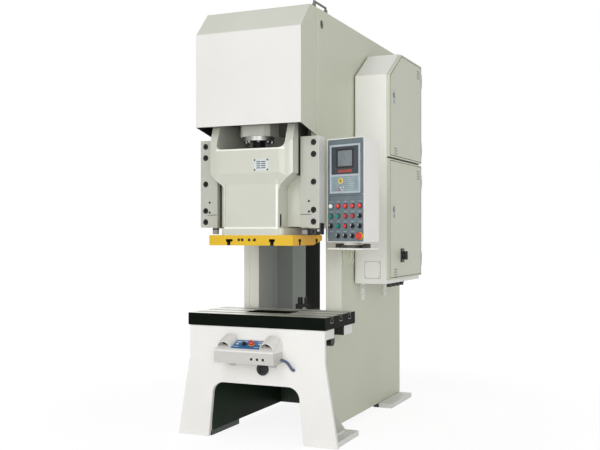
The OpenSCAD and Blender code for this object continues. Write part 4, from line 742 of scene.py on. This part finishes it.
def make_plate_plugs():
    """Dark plugs in the front of the slide plate."""
    low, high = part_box("slide_plate")
    z = (low.z + high.z) / 2 + PLATE_PLUGS_RISE * MM
    places = [looking((x * MM, low.y, z), -Y_AXIS) for x in PLATE_PLUGS_X]
    trim("plate_plugs", "slide", "oxide", "black_steel", places, socket_screw, radius=9, height=1.4)


def make_screw():
    """Screw with four thread starts between its seat and its upper end, in metres."""
    low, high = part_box("drive_screw")
    axis = Vector(((low.x + high.x) / 2, (low.y + high.y) / 2, 0))
    seat_r, seat_t, chamfer = (high.x - low.x) / 2, 25 * MM, 6 * MM
    crest, root, pitch, starts = 40 * MM, 37 * MM, 10 * MM, 4
    flank, root_width = 1.6, 0.3
    around, step = 48, 2.0 * MM
    bottom, top = low.z + seat_t, high.z - chamfer
    mesh = bmesh.new()

    def thread_radius(z, angle):
        phase = (z / pitch - starts * angle / (2 * math.pi)) % 1.0
        wave = min(1.0, max(0.0, flank * abs(2 * phase - 1) - root_width))
        return root + (crest - root) * wave

    def row_at(z, radius=None):
        made = []
        for angle in (2 * math.pi * i / around for i in range(around)):
            r = radius or thread_radius(z, angle)
            made.append(mesh.verts.new(axis + Vector((r * math.cos(angle), r * math.sin(angle), z))))
        return made

    rows = [row_at(low.z, seat_r), row_at(bottom, seat_r), row_at(bottom, root)]
    rows += [row_at(bottom + i * step) for i in range(1, int((top - bottom) / step))]
    rows += [row_at(top, root), row_at(high.z, root - chamfer / 2)]
    close_tube(mesh, rows)
    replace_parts(piece("screw_thread", "slide", "dark_steel", mesh), "drive_screw")


# Guides: bright counterbore rims, set screws, seams, wipers, and the limit switch under the right gib

GIB_SCREW_SHARES, GIB_SCREW_R = (0.064, 0.193, 0.5, 0.803, 0.932), 16.5
SET_SCREW_X, SET_SCREWS_Z = 338, (1452, 1390)
GIB_SEAM_X, GIB_SEAM_Z = 319, 1373


def make_gib_trim():
    low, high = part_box("gibs")
    _, bolts_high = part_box("gib_bolts")
    screw_x = bolts_high.x - GIB_SCREW_R * MM
    screws_z = [low.z + share * (high.z - low.z) for share in GIB_SCREW_SHARES]

    def on_gibs(x, heights):
        return [looking((side * x, low.y, z), -Y_AXIS) for side in SIDES for z in heights]

    seams = on_gibs(GIB_SEAM_X * MM, [GIB_SEAM_Z * MM])
    plugs = on_gibs(SET_SCREW_X * MM, [z * MM for z in SET_SCREWS_Z])
    trim("gib_seams", "frame", "seam", "frame_paint", seams, slab, (70, 2.6, 1), low=-0.2, high=0.4, steps=2)
    trim("gib_bore_rims", "frame", "gib", "frame_paint", on_gibs(screw_x, screws_z),
         ring, inner=19.2, outer=22.0, low=-0.2, high=0.7, chamfer=0.5, count=32)
    trim("gib_set_screws", "frame", "oxide", "black_steel", plugs, socket_screw, radius=7, height=1.2)


def make_wipers():
    """Steel wiper block under the lower end of each guide, with a felt strip."""
    low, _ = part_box("gibs")
    left, right, wiper_h, wiper_d, setback = 288, 322, 41, 22, 9
    under = Matrix.Translation((0, low.y, low.z))
    places = [under @ shift(side * (left + right) / 2, setback + wiper_d / 2) for side in SIDES]
    trim("wiper_blocks", "frame", "grey_iron", "machined_steel", places,
         slab, (right - left, wiper_d, 2), low=-wiper_h, high=0.0, round_width=1.2)
    trim("wiper_felts", "frame", "rubber", "black_rubber", places,
         slab, (right - left + 3, wiper_d + 2, 3), low=-14, high=-6, round_width=1)


def make_limit_switch():
    """Limit switch on an angle plate under the right gib, with its head, gland, nut and side box."""
    low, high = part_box("gibs")
    left, plate_t, body_x, head_x = 328 * MM, 5, -8, 27
    setback, box_setback, box_drop = 34 * MM, 35 * MM, 8 * MM
    under = Matrix.Translation(((left + high.x) / 2, low.y + setback, low.z))
    beside = looking((high.x, low.y + box_setback, low.z - box_drop), X_AXIS)
    forward = Matrix.Rotation(math.pi / 2, 4, "X")
    trim("switch_plate", "frame", "zinc", "machined_steel", [under],
         slab, ((high.x - left) / MM, 60, 3), low=-plate_t, high=0.0, round_width=0.8)
    mesh = bmesh.new()
    slab(mesh, under, (46, 42, 4), low=-42, high=-plate_t, centre=(body_x, 0))
    slab(mesh, under, (20, 30, 3), low=-30, high=-plate_t, centre=(head_x, 0))
    fitting(mesh, under @ shift(body_x, -21, -24) @ forward, wide=9, shoulder=10, narrow=6, cone=12, top=20,
            count=20)
    piece("limit_switch", "frame", "black", mesh, 1)
    trim("switch_nut", "frame", "steel", "machined_steel", [under @ shift(head_x, -15, -18) @ forward],
         fitting, wide=8, shoulder=6, narrow=5, cone=7, top=12, count=6)
    trim("switch_side_box", "frame", "black", "black_plastic", [beside],
         slab, (52, 68, 4), low=0.0, high=8, inset=1)


# Bolster: bright steel outline of each T-slot where it comes out at the ends, as wear and painted highlight

# Face of the leg plate, from which depths are counted
LEG_FACE = -970
BOLSTER_SLOTS = (95, 245, 395)


def make_slot_outlines():
    low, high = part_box("bolster")
    neck, head, step, foot, edge = 11, 18.5, 23, 37, 2.2
    bars = [((2 * (head + edge), edge), (0, -foot - edge / 2))]
    for side in SIDES:
        bars.append(((edge, step), (side * (neck + edge / 2), -step / 2)))
        bars.append(((edge, foot - step), (side * (head + edge / 2), -(step + foot) / 2)))
    mesh = bmesh.new()
    for side, x in zip(SIDES, (low.x, high.x)):
        for y in BOLSTER_SLOTS:
            face = looking((x, (LEG_FACE + y) * MM, high.z), side * X_AXIS)
            for size, centre in bars:
                slab(mesh, face, (*size, 0.5), low=-0.2, high=0.4, steps=2, centre=centre)
    piece("bolster_slot_edges", "frame", "steel", mesh)


# Cabinet: cover plate, vents, door seams, lock plates and switch marks

def make_cabinet_trim():
    low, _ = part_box("cabinet_shell")
    side, thick, margin = 104, 1.6, 7
    from_left, rise = 122, 91
    face = looking((low.x + from_left * MM, low.y, low.z + rise * MM), -Y_AXIS)
    outline = [(sx * side * 0.53, sy * side * 0.55) for sx, sy in CORNERS]
    corners = at_corners(face, side - 2 * margin, side - 2 * margin, thick)
    trim("cover_plate", "frame", "bright", "white_paint", [face],
         slab, (side, side * 1.04, 3), low=0.0, high=thick, inset=0.5)
    trim("cover_plate_seam", "frame", "grey_iron", "white_paint", [face],
         seam, outline, inset=0.0, width=2.4, height=0.5)
    trim("cover_plate_screws", "frame", "steel", "machined_steel", corners,
         dome, radius=3.2, height=1.4, skirt=0.4, count=14)


VENT_ROWS, VENT_PITCH, VENT_R = 4, 17, 5.4
# Places of a door's vents, as shares of its depth with a drop from its top or a rise from its foot
HIGH_VENT, LOW_VENT = (0.86, 74), (0.17, 38)
# Depth of a door's sheet, and run and fall of the sloping corner of the upper one
DOOR_D, CUT_RUN, CUT_FALL = 755, 260, 177
LOCK_REACH = 7


def make_door_trim(door, lock):
    """Punched vents with pressed rims and black discs in them as painted shade, the seam of the sheet, lock
    plate and lock collar.
    """
    low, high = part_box(door)
    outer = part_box(lock)[1].x - LOCK_REACH * MM
    steps = [(i - (VENT_ROWS - 1) / 2) * VENT_PITCH for i in range(VENT_ROWS)]
    vents = []
    for share, z in ((HIGH_VENT[0], high.z - HIGH_VENT[1] * MM), (LOW_VENT[0], low.z + LOW_VENT[1] * MM)):
        face = looking((outer, low.y + share * (high.y - low.y), z), X_AXIS)
        vents += [face @ shift(x, y) for x in steps for y in steps]
    trim(f"{door}_vent_rims", door, "door", "frame_paint", vents,
         ring, inner=VENT_R, outer=VENT_R + 1.4, low=-0.1, high=0.5, chamfer=0.2, count=16)
    # Black discs in the vents: painted shade.
    trim(f"{door}_vent_hole_shade", door, "black", "black_plastic", vents,
         disc, radius=VENT_R, low=-0.1, high=0.45, count=16)
    half_d, half_h = DOOR_D / 2, (high.z - low.z) / 2 / MM
    outline = [(half_d, -half_h), (half_d, half_h), (-half_d, half_h), (-half_d, -half_h)]
    if door == "upper_door":
        outline[2:3] = [(CUT_RUN - half_d, half_h), (-half_d, half_h - CUT_FALL)]
    middle = looking((outer, low.y + half_d * MM, (low.z + high.z) / 2), X_AXIS)
    trim(f"{door}_seam", door, "seam", "frame_paint", [middle],
         seam, outline, inset=10, width=4.2, height=0.5)
    lock_at = Vector(joints[f"{lock}_turn"]["pos_m"])
    face = looking((outer, lock_at.y, lock_at.z), X_AXIS)
    trim(f"{door}_lock_plate", door, "silver", "machined_steel", [face],
         slab, (40, 92, 10), low=0.0, high=1.8, inset=0.6, steps=5, centre=(0, -14))
    mesh = bmesh.new()
    ring(mesh, face, inner=13.2, outer=17, low=1.6, high=4.6, chamfer=0.8, count=32)
    dome(mesh, face @ shift(0, -42, 1.8), radius=6, height=1.5, skirt=1.0, count=20)
    piece(f"{door}_lock_collar", door, "dark_steel", mesh)


def make_switch_trim():
    _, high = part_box("main_switch")
    _, base_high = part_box("switch_base")
    at = Vector(joints["main_switch_turn"]["pos_m"])
    face, base = (looking((x, at.y, at.z), X_AXIS) for x in (high.x, base_high.x))
    marks = [base @ Matrix.Rotation(angle, 4, "Z") @ shift(0, 27.5) for angle in (0, -math.pi / 2)]
    trim("main_switch_mark", "main_switch", "ink", "black_plastic", [face @ shift(0, 14)],
         slab, (3, 22, 1.4), low=-0.2, high=0.5, steps=4)
    trim("switch_base_marks", "lower_door", "ink", "black_plastic", marks,
         slab, (9, 5, 1.2), low=-0.1, high=0.4)


# Pendant: its own frame has X across the panel, Z up and -Y out of the panel

PENDANT_YAW = math.radians(20)
PENDANT = Matrix.Translation(joints["pendant_swivel"]["pos_m"]) @ Matrix.Rotation(-PENDANT_YAW, 4, "Z")
PANEL_FACE = -67
PITCH_X, PITCH_Z, FIRST_ROW = 56, 59, 38
COLUMNS, ROWS = 5, 4
LAMP_ROW = 3
ESTOP_CELL = (4, 0)
PUSH_CELLS = ((0, 2), (1, 2), (2, 2), (3, 2), (1, 1), (2, 1))
SELECTOR_CELLS = ((4, 2), (0, 1), (3, 1), (4, 1), (1, 0), (2, 0), (3, 0))
STEM_R, MARK_DEPTH, MARK_RISE, LABEL_RISE = 11.4, 19, 4.4, 26
MODULE_W, MODULE_H, MODULE_Z, MODULE_T = 236, 290, 290, 9
MODULE_LIP, WINDOW_H, WINDOW_DEPTH = 12, 165, 5
INNER_W = MODULE_W - 2 * MODULE_LIP
# Screen and digit row, as shares of the window
SCREEN_RISE, SCREEN_W, SCREEN_H = 0.07, 0.52, 0.56
DIGITS_DROP, DIGITS_W = 0.385, 0.5


def on_panel(x, z, out=0.0):
    """Place on the pendant's face: Z out of the panel, Y up, X to the right."""
    face = Matrix(((1, 0, 0), (0, 0, -1), (0, 1, 0))).to_4x4()
    return PENDANT @ shift(x, PANEL_FACE - out, z) @ face


def at_cell(cell, out=0.0):
    return on_panel((cell[0] - (COLUMNS - 1) / 2) * PITCH_X, FIRST_ROW + cell[1] * PITCH_Z, out)


def make_pendant_controls():
    controls = [at_cell(cell) for cell in PUSH_CELLS + SELECTOR_CELLS]
    lamps = [at_cell((column, LAMP_ROW)) for column in range(COLUMNS)]
    cells = [(column, level) for level in range(ROWS) for column in range(COLUMNS)]
    labels = [at_cell(cell) @ shift(0, LABEL_RISE) for cell in cells if cell != ESTOP_CELL]
    trim("control_bezels", "pendant", "dark_steel", "black_steel", controls,
         ring, inner=STEM_R, outer=15.2, low=0.0, high=3.6, chamfer=0.9, count=36)
    trim("estop_shield", "pendant", "signal", "yellow_paint", [at_cell(ESTOP_CELL)],
         ring, inner=STEM_R, outer=22, low=0.0, high=3.4, chamfer=0.8, count=40)
    for index, lamp in enumerate(lamps, 1):
        finish = "lamp_white" if index == 1 else "lamp_red"
        trim(f"lamp_lens_{index}", "pendant", finish, "red_plastic", [lamp],
             dome, radius=13, height=6, skirt=9.5, count=28)
    trim("lamp_collars", "pendant", "dark_steel", "black_steel", lamps,
         ring, inner=13.2, outer=16, low=0.0, high=4, chamfer=1, count=36)
    trim("label_strips", "pendant", "module", "grey_panel", labels,
         slab, (26, 6, 1), low=0.0, high=0.5, steps=2)


def make_selector_marks():
    for index, cell in enumerate(SELECTOR_CELLS, 1):
        face = at_cell(cell, MARK_DEPTH) @ shift(0, MARK_RISE)
        trim(f"selector_mark_{index}", f"selector_{index}", "ink", "black_plastic", [face],
             slab, (4.4, 11, 1.6), low=-0.2, high=0.4)
    face = LID @ shift(-LID_PITCH / 2, MARK_RISE, MARK_DEPTH)
    trim("box_selector_mark", "box_selector", "ink", "black_plastic", [face],
         slab, (2.6, 10, 1.2), low=-0.2, high=0.4)


def make_display():
    """Screen bezel, screen and its border, over the digit row and the key film."""
    window_mid = MODULE_Z + MODULE_H - MODULE_LIP - WINDOW_H / 2
    floor = MODULE_T - WINDOW_DEPTH
    window = on_panel(0, window_mid, floor)
    screen = on_panel(0, window_mid + WINDOW_H * SCREEN_RISE, floor + 1.0)
    screen_w, screen_h = INNER_W * SCREEN_W, WINDOW_H * SCREEN_H
    trim("display_bezel", "pendant", "dark", "dark_plastic", [window],
         slab, (INNER_W - 1, WINDOW_H - 1, 2), low=0.0, high=1.2)
    trim("display_screen", "pendant", "screen", "dark_plastic", [screen],
         slab, (screen_w, screen_h, 3), low=0.0, high=1.8, inset=0.5, steps=4)
    trim("screen_border", "pendant", "black", "black_plastic", [screen],
         slab, (screen_w + 26, screen_h + 22, 4), low=0.0, high=0.7, inset=0.3, steps=4)
    make_digits(window_mid - WINDOW_H * DIGITS_DROP, floor + 1.2, INNER_W * DIGITS_W)
    make_key_film()


def make_digits(z, out, width):
    """Row of seven-segment figures, all segments lit."""
    count, digit_w, digit_h, bar = 7, 7.4, 14, 1.8
    segments = [((digit_w, bar), (0, y)) for y in (-digit_h / 2, 0.0, digit_h / 2)]
    segments += [((bar, digit_h / 2 - bar), (sx * digit_w / 2, sy * digit_h / 4)) for sx, sy in CORNERS]
    mesh = bmesh.new()
    for index in range(count):
        at = on_panel((index - (count - 1) / 2) * width / count, z, out)
        for size, centre in segments:
            slab(mesh, at, (*size, 0.6), low=0.0, high=0.6, steps=2, centre=centre)
    piece("digit_row", "pendant", "digits", mesh)


RING_KEY, PINK_KEY, WHITE_KEYS = (-32, 18), (-44, -34), ((-31, -22), (-10, -19), (-20, -36))
LEGENDS, LEGEND_X, LEGEND_TOP, LEGEND_PITCH = 7, 48, 36, 12
LEGEND_W, LEGEND_STEP = 56, 7


def make_key_film():
    """Key film with a ring key, small keys and blank legend lines."""
    key_h = MODULE_H - WINDOW_H - 3 * MODULE_LIP
    key_mid = MODULE_Z + MODULE_LIP + key_h / 2
    floor, film_t = MODULE_T - WINDOW_DEPTH / 2, 0.6

    def on_film(x, y):
        return on_panel(x, key_mid + y, floor + film_t)

    trim("key_film", "pendant", "module", "grey_panel", [on_panel(0, key_mid, floor)],
         slab, (INNER_W - 1, key_h - 1, 3), low=0.0, high=film_t, steps=4)
    ring_key = [on_film(*RING_KEY)]
    white_keys = [on_film(*key) for key in WHITE_KEYS]
    trim("ring_key", "pendant", "signal", "yellow_paint", ring_key,
         ring, inner=12, outer=18, low=0.0, high=1.4, chamfer=0.5, count=36)
    trim("ring_key_centre", "pendant", "brass", "yellow_paint", ring_key,
         dome, radius=9, height=1.4, skirt=0.4, count=24)
    trim("white_keys", "pendant", "ink", "grey_panel", white_keys,
         dome, radius=4, height=1.0, skirt=0.4, count=18)
    trim("pink_key", "pendant", "pink", "red_plastic", [on_film(*PINK_KEY)],
         ring, inner=3, outer=8, low=0.0, high=1.2, chamfer=0.4, count=28)
    mesh = bmesh.new()
    for line in range(LEGENDS):
        place = on_film(LEGEND_X, LEGEND_TOP - LEGEND_PITCH * line)
        slab(mesh, place, (LEGEND_W - LEGEND_STEP * (line % 3), 3, 0.8), low=0.0, high=0.4, steps=2)
    piece("legend_lines", "pendant", "silver", mesh)


def make_pendant_body_trim():
    """Groove between display and controls, rim screws, and the cable gland on the roof."""
    groove_z, screw_x = MODULE_Z - 14, 132
    screws = [on_panel(side * screw_x, z) for side in SIDES for z in (16, groove_z + 6, 604)]
    gland = [(0, 0), (13, 0), (13, 8), (10, 10), (10, 18), (7, 22), (0, 22)]
    trim("panel_groove", "pendant", "dark", "dark_plastic", [on_panel(0, groove_z)],
         slab, (276, 2.4, 1), low=0.0, high=0.6, steps=2)
    trim("panel_screws", "pendant", "steel", "machined_steel", screws,
         dome, radius=3.2, height=1.3, skirt=0.3, count=16)
    trim("roof_gland", "pendant", "black", "black_plastic", [PENDANT @ shift(-96, -10, 603)],
         lathe, gland, count=24)


# Two-hand box: its lid has Z out of the lid and Y up the slope, with its origin between selector and stop

LID_PITCH = 50
LID_OUT = -Vector(joints["box_selector_turn"]["axis"])
LID = looking(Vector(joints["box_selector_turn"]["pos_m"]) + Vector((LID_PITCH / 2 * MM, 0, 0)), LID_OUT)
FILM_T = 2
# Blank marks on the film: place, width and height
FILM_MARKS = ((-70, 30, 34, 4), (-70, 20, 26, 4), (-70, -28, 38, 4), (70, 34, 30, 4), (68, -30, 34, 4),
              (-25, 30, 22, 3.5), (74, 8, 14, 12), (-74, 2, 14, 12))


def make_box_trim():
    dials = [LID @ shift(side * LID_PITCH / 2, 0, FILM_T) for side in SIDES]
    trim("box_dials", "frame", "deep_blue", "blue_panel", dials,
         ring, inner=STEM_R, outer=21, low=0.0, high=1.2, chamfer=0.4, count=36)
    trim("box_estop_shield", "frame", "signal", "yellow_paint", dials[1:],
         ring, inner=STEM_R, outer=19, low=1.0, high=1.9, chamfer=0.3, count=36)
    mesh = bmesh.new()
    for x, y, width, height in FILM_MARKS:
        slab(mesh, LID @ shift(x, y, FILM_T), (width, height, 1), low=0.0, high=0.4, steps=2)
    piece("box_film_marks", "frame", "ink", mesh)
    make_box_plugs()


def make_box_plugs():
    low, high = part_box("two_hand_box")
    count, pitch, rise, offset_share = 3, 38, 65.2, 0.14
    first = ((low.x + high.x) / 2 + offset_share * (high.x - low.x), low.y, low.z + rise * MM)
    places = [looking(first, -Y_AXIS) @ shift(index * pitch, 0) for index in range(count)]
    trim("box_plugs", "frame", "black", "black_plastic", places,
         dome, radius=9, height=1.8, skirt=0.4, count=24)
    trim("box_plug_rims", "frame", "case", "white_paint", places,
         ring, inner=9.4, outer=12.5, low=-3, high=-1.4, chamfer=0.5, count=28)


# Conduit: corrugated sleeve along the curve of its solid, in metres

CONDUIT_Y, CONDUIT_Z = -0.994, 0.505


def make_conduit():
    radius, pitch, around, groove = 9 * MM, 4.5 * MM, 20, 1.1 * MM
    rows_per_pitch, pieces, look_ahead = 4, 60, 0.01
    start = Vector((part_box("two_hand_box")[1].x, CONDUIT_Y, CONDUIT_Z))
    reach, run, fall, setback = 60 * MM, 74 * MM, 58 * MM, 24 * MM
    ends = (start, start + Vector((reach, 0, 0)), start + Vector((run, -setback, -fall)),
            start + Vector((run, setback, -fall)))

    def at(t):
        u = 1 - t
        return u ** 3 * ends[0] + 3 * u * u * t * ends[1] + 3 * u * t * t * ends[2] + t ** 3 * ends[3]

    length = sum((at((i + 1) / pieces) - at(i / pieces)).length for i in range(pieces))
    count = int(length / pitch * rows_per_pitch)
    mesh = bmesh.new()
    rows = []
    for i in range(count + 1):
        t = i / count
        way = (at(min(1, t + look_ahead)) - at(max(0, t - look_ahead))).normalized()
        across = way.cross(Z_AXIS).normalized()
        up = across.cross(way)
        r = radius - groove * (0.5 + 0.5 * math.cos(2 * math.pi * i / rows_per_pitch))
        rows.append([mesh.verts.new(at(t) + r * (across * x + up * y)) for x, y in circle(1.0, around)])
    close_tube(mesh, rows)
    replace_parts(piece("conduit_sleeve", "frame", "conduit", mesh), "conduit")


# Lifting holes: a dark disc in each as painted shade, and a raised rim with lighter edges

LIFT_DEPTH, LIFT_DROP, LIFT_R = 206, 89, 27.4


def make_lift_holes():
    places = []
    for node, side in (("side_plate_left", -1), ("side_plate_right", 1)):
        low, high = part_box(node)
        outer = high.x if side > 0 else low.x
        places.append(looking((outer, (LEG_FACE + LIFT_DEPTH) * MM, high.z - LIFT_DROP * MM), side * X_AXIS))
    # Dark discs in the holes: painted shade.
    trim("lift_hole_shade", "frame", "dark", "dark_plastic", places,
         disc, radius=LIFT_R, low=-9, high=-6, count=40)
    trim("lift_hole_rims", "frame", "frame", "frame_paint", places,
         ring, inner=LIFT_R, outer=LIFT_R + 4, low=-0.2, high=0.6, chamfer=0.3, count=40)


# Air fittings: gauge, nipples and the grommet's rim

VALVE = looking((0.010, -0.28, 0.779), -Y_AXIS)
GROMMET = looking((0.055, -0.982, 0.441), -Y_AXIS)


def make_air_trim():
    mesh = bmesh.new()
    gauge, gauge_r = VALVE @ shift(20, -38), 15
    ring(mesh, gauge, inner=gauge_r, outer=19, low=0.0, high=11, chamfer=1.2, count=32)
    disc(mesh, gauge, radius=gauge_r, low=0, high=7, count=32)
    piece("pressure_gauge", "frame", "silver", mesh)
    nipples = [VALVE @ shift(x, -50) for x in (-30, -12)]
    trim("air_nipples", "frame", "brass", "machined_steel", nipples,
         fitting, wide=9, shoulder=8, narrow=6, cone=9, top=18, count=6)
    trim("grommet_rim", "frame", "dark_steel", "black_rubber", [GROMMET],
         ring, inner=21, outer=27, low=0.0, high=2.4, chamfer=0.9, count=40)


# Stage: floor, light and camera

FLOOR_HALF, FLOOR_GREY = 40.0, (0.86, 0.86, 0.86, 1.0)
FLOOR_GLOW, FLOOR_WHITE, FLOOR_FADE = 0.82, 1.08, (1.6, 4.5)
SKY_LIGHT = 0.36


def make_stage():
    """White floor that shows shadows near the press and fades into the background."""
    tree, shader = start_material("floor")
    feed(tree, shader, {"Base Color": FLOOR_GREY, "Roughness": 0.9, "Specular IOR Level": 0.1})
    path = add(tree, "ShaderNodeLightPath", {})
    seen = math_node(tree, "MAXIMUM", path.outputs["Is Camera Ray"], path.outputs["Is Glossy Ray"])
    away = add(tree, "ShaderNodeVectorMath", {0: object_coords(tree)}, operation="LENGTH")
    share = times(tree, seen, span(tree, away.outputs["Value"], FLOOR_GLOW, 1.0, *FLOOR_FADE))
    glow = add(tree, "ShaderNodeEmission", {"Color": WHITE, "Strength": FLOOR_WHITE})
    blend = add(tree, "ShaderNodeMixShader",
                {0: share, 1: shader.outputs["BSDF"], 2: glow.outputs["Emission"]})
    feed(tree, tree.nodes["Material Output"], {"Surface": blend.outputs["Shader"]})
    mesh = bmesh.new()
    mesh.faces.new([mesh.verts.new((x * FLOOR_HALF, y * FLOOR_HALF, 0.0)) for x, y in CORNERS])
    floor = link_mesh("floor", mesh, "floor")


def make_world():
    world = bpy.data.worlds.new("studio")
    bpy.context.scene.world = world
    world.use_nodes = True
    tree = world.node_tree
    path = add(tree, "ShaderNodeLightPath", {})
    seen = math_node(tree, "MAXIMUM", path.outputs["Is Camera Ray"], path.outputs["Is Transmission Ray"])
    seen = math_node(tree, "MAXIMUM", seen, path.outputs["Is Glossy Ray"])
    feed(tree, tree.nodes["Background"], {"Color": WHITE, "Strength": span(tree, seen, SKY_LIGHT, 1.0)})


LIGHT_TARGET = Vector((0.0, -0.2, 1.3))
# Place, size and power of each square light
LIGHTS = {
    "key": ((-1.2, -8.6, 2.6), 3.0, 85),
    "high_front": ((-0.5, -10.5, 8.0), 5.0, 310),
    "front_right": ((3.6, -7.6, 2.0), 3.0, 130),
    "right_fill": ((6.5, -1.2, 2.6), 3.2, 50),
    "back_rim": ((-4.0, 5.0, 4.5), 3.0, 90),
}


def make_lights():
    for name, (place, size, power) in LIGHTS.items():
        data = bpy.data.lights.new(name, "AREA")
        data.shape = "SQUARE"
        data.size = size
        data.energy = power
        lamp = bpy.data.objects.new(name, data)
        lamp.location = place
        lamp.rotation_euler = (LIGHT_TARGET - Vector(place)).to_track_quat("-Z", "Y").to_euler()
        bpy.context.scene.collection.objects.link(lamp)


CAMERA_PLACE = Vector((2.3986, -5.7304, 1.265))
CAMERA_AZIMUTH = math.radians(23.8)
CAMERA_LENS, CAMERA_SENSOR, CAMERA_SHIFT = 52.7, 36.0, 0.0125


def make_camera():
    data = bpy.data.cameras.new("camera")
    data.lens = CAMERA_LENS
    data.sensor_width = CAMERA_SENSOR
    data.shift_y = CAMERA_SHIFT
    camera = bpy.data.objects.new("camera", data)
    camera.location = CAMERA_PLACE
    camera.rotation_euler = (math.pi / 2, 0.0, CAMERA_AZIMUTH)
    bpy.context.scene.collection.objects.link(camera)
    bpy.context.scene.camera = camera


make_camera()
dress_nodes()
make_slide_trim()
make_plate_plugs()
make_screw()
make_gib_trim()
make_wipers()
make_limit_switch()
make_slot_outlines()
make_cabinet_trim()
make_door_trim("upper_door", "upper_lock")
make_door_trim("lower_door", "lower_lock")
make_switch_trim()
make_pendant_controls()
make_selector_marks()
make_display()
make_pendant_body_trim()
make_box_trim()
make_conduit()
make_lift_holes()
make_air_trim()
make_stage()
make_world()
make_lights()
bpy.context.scene.view_settings.view_transform = "Standard"
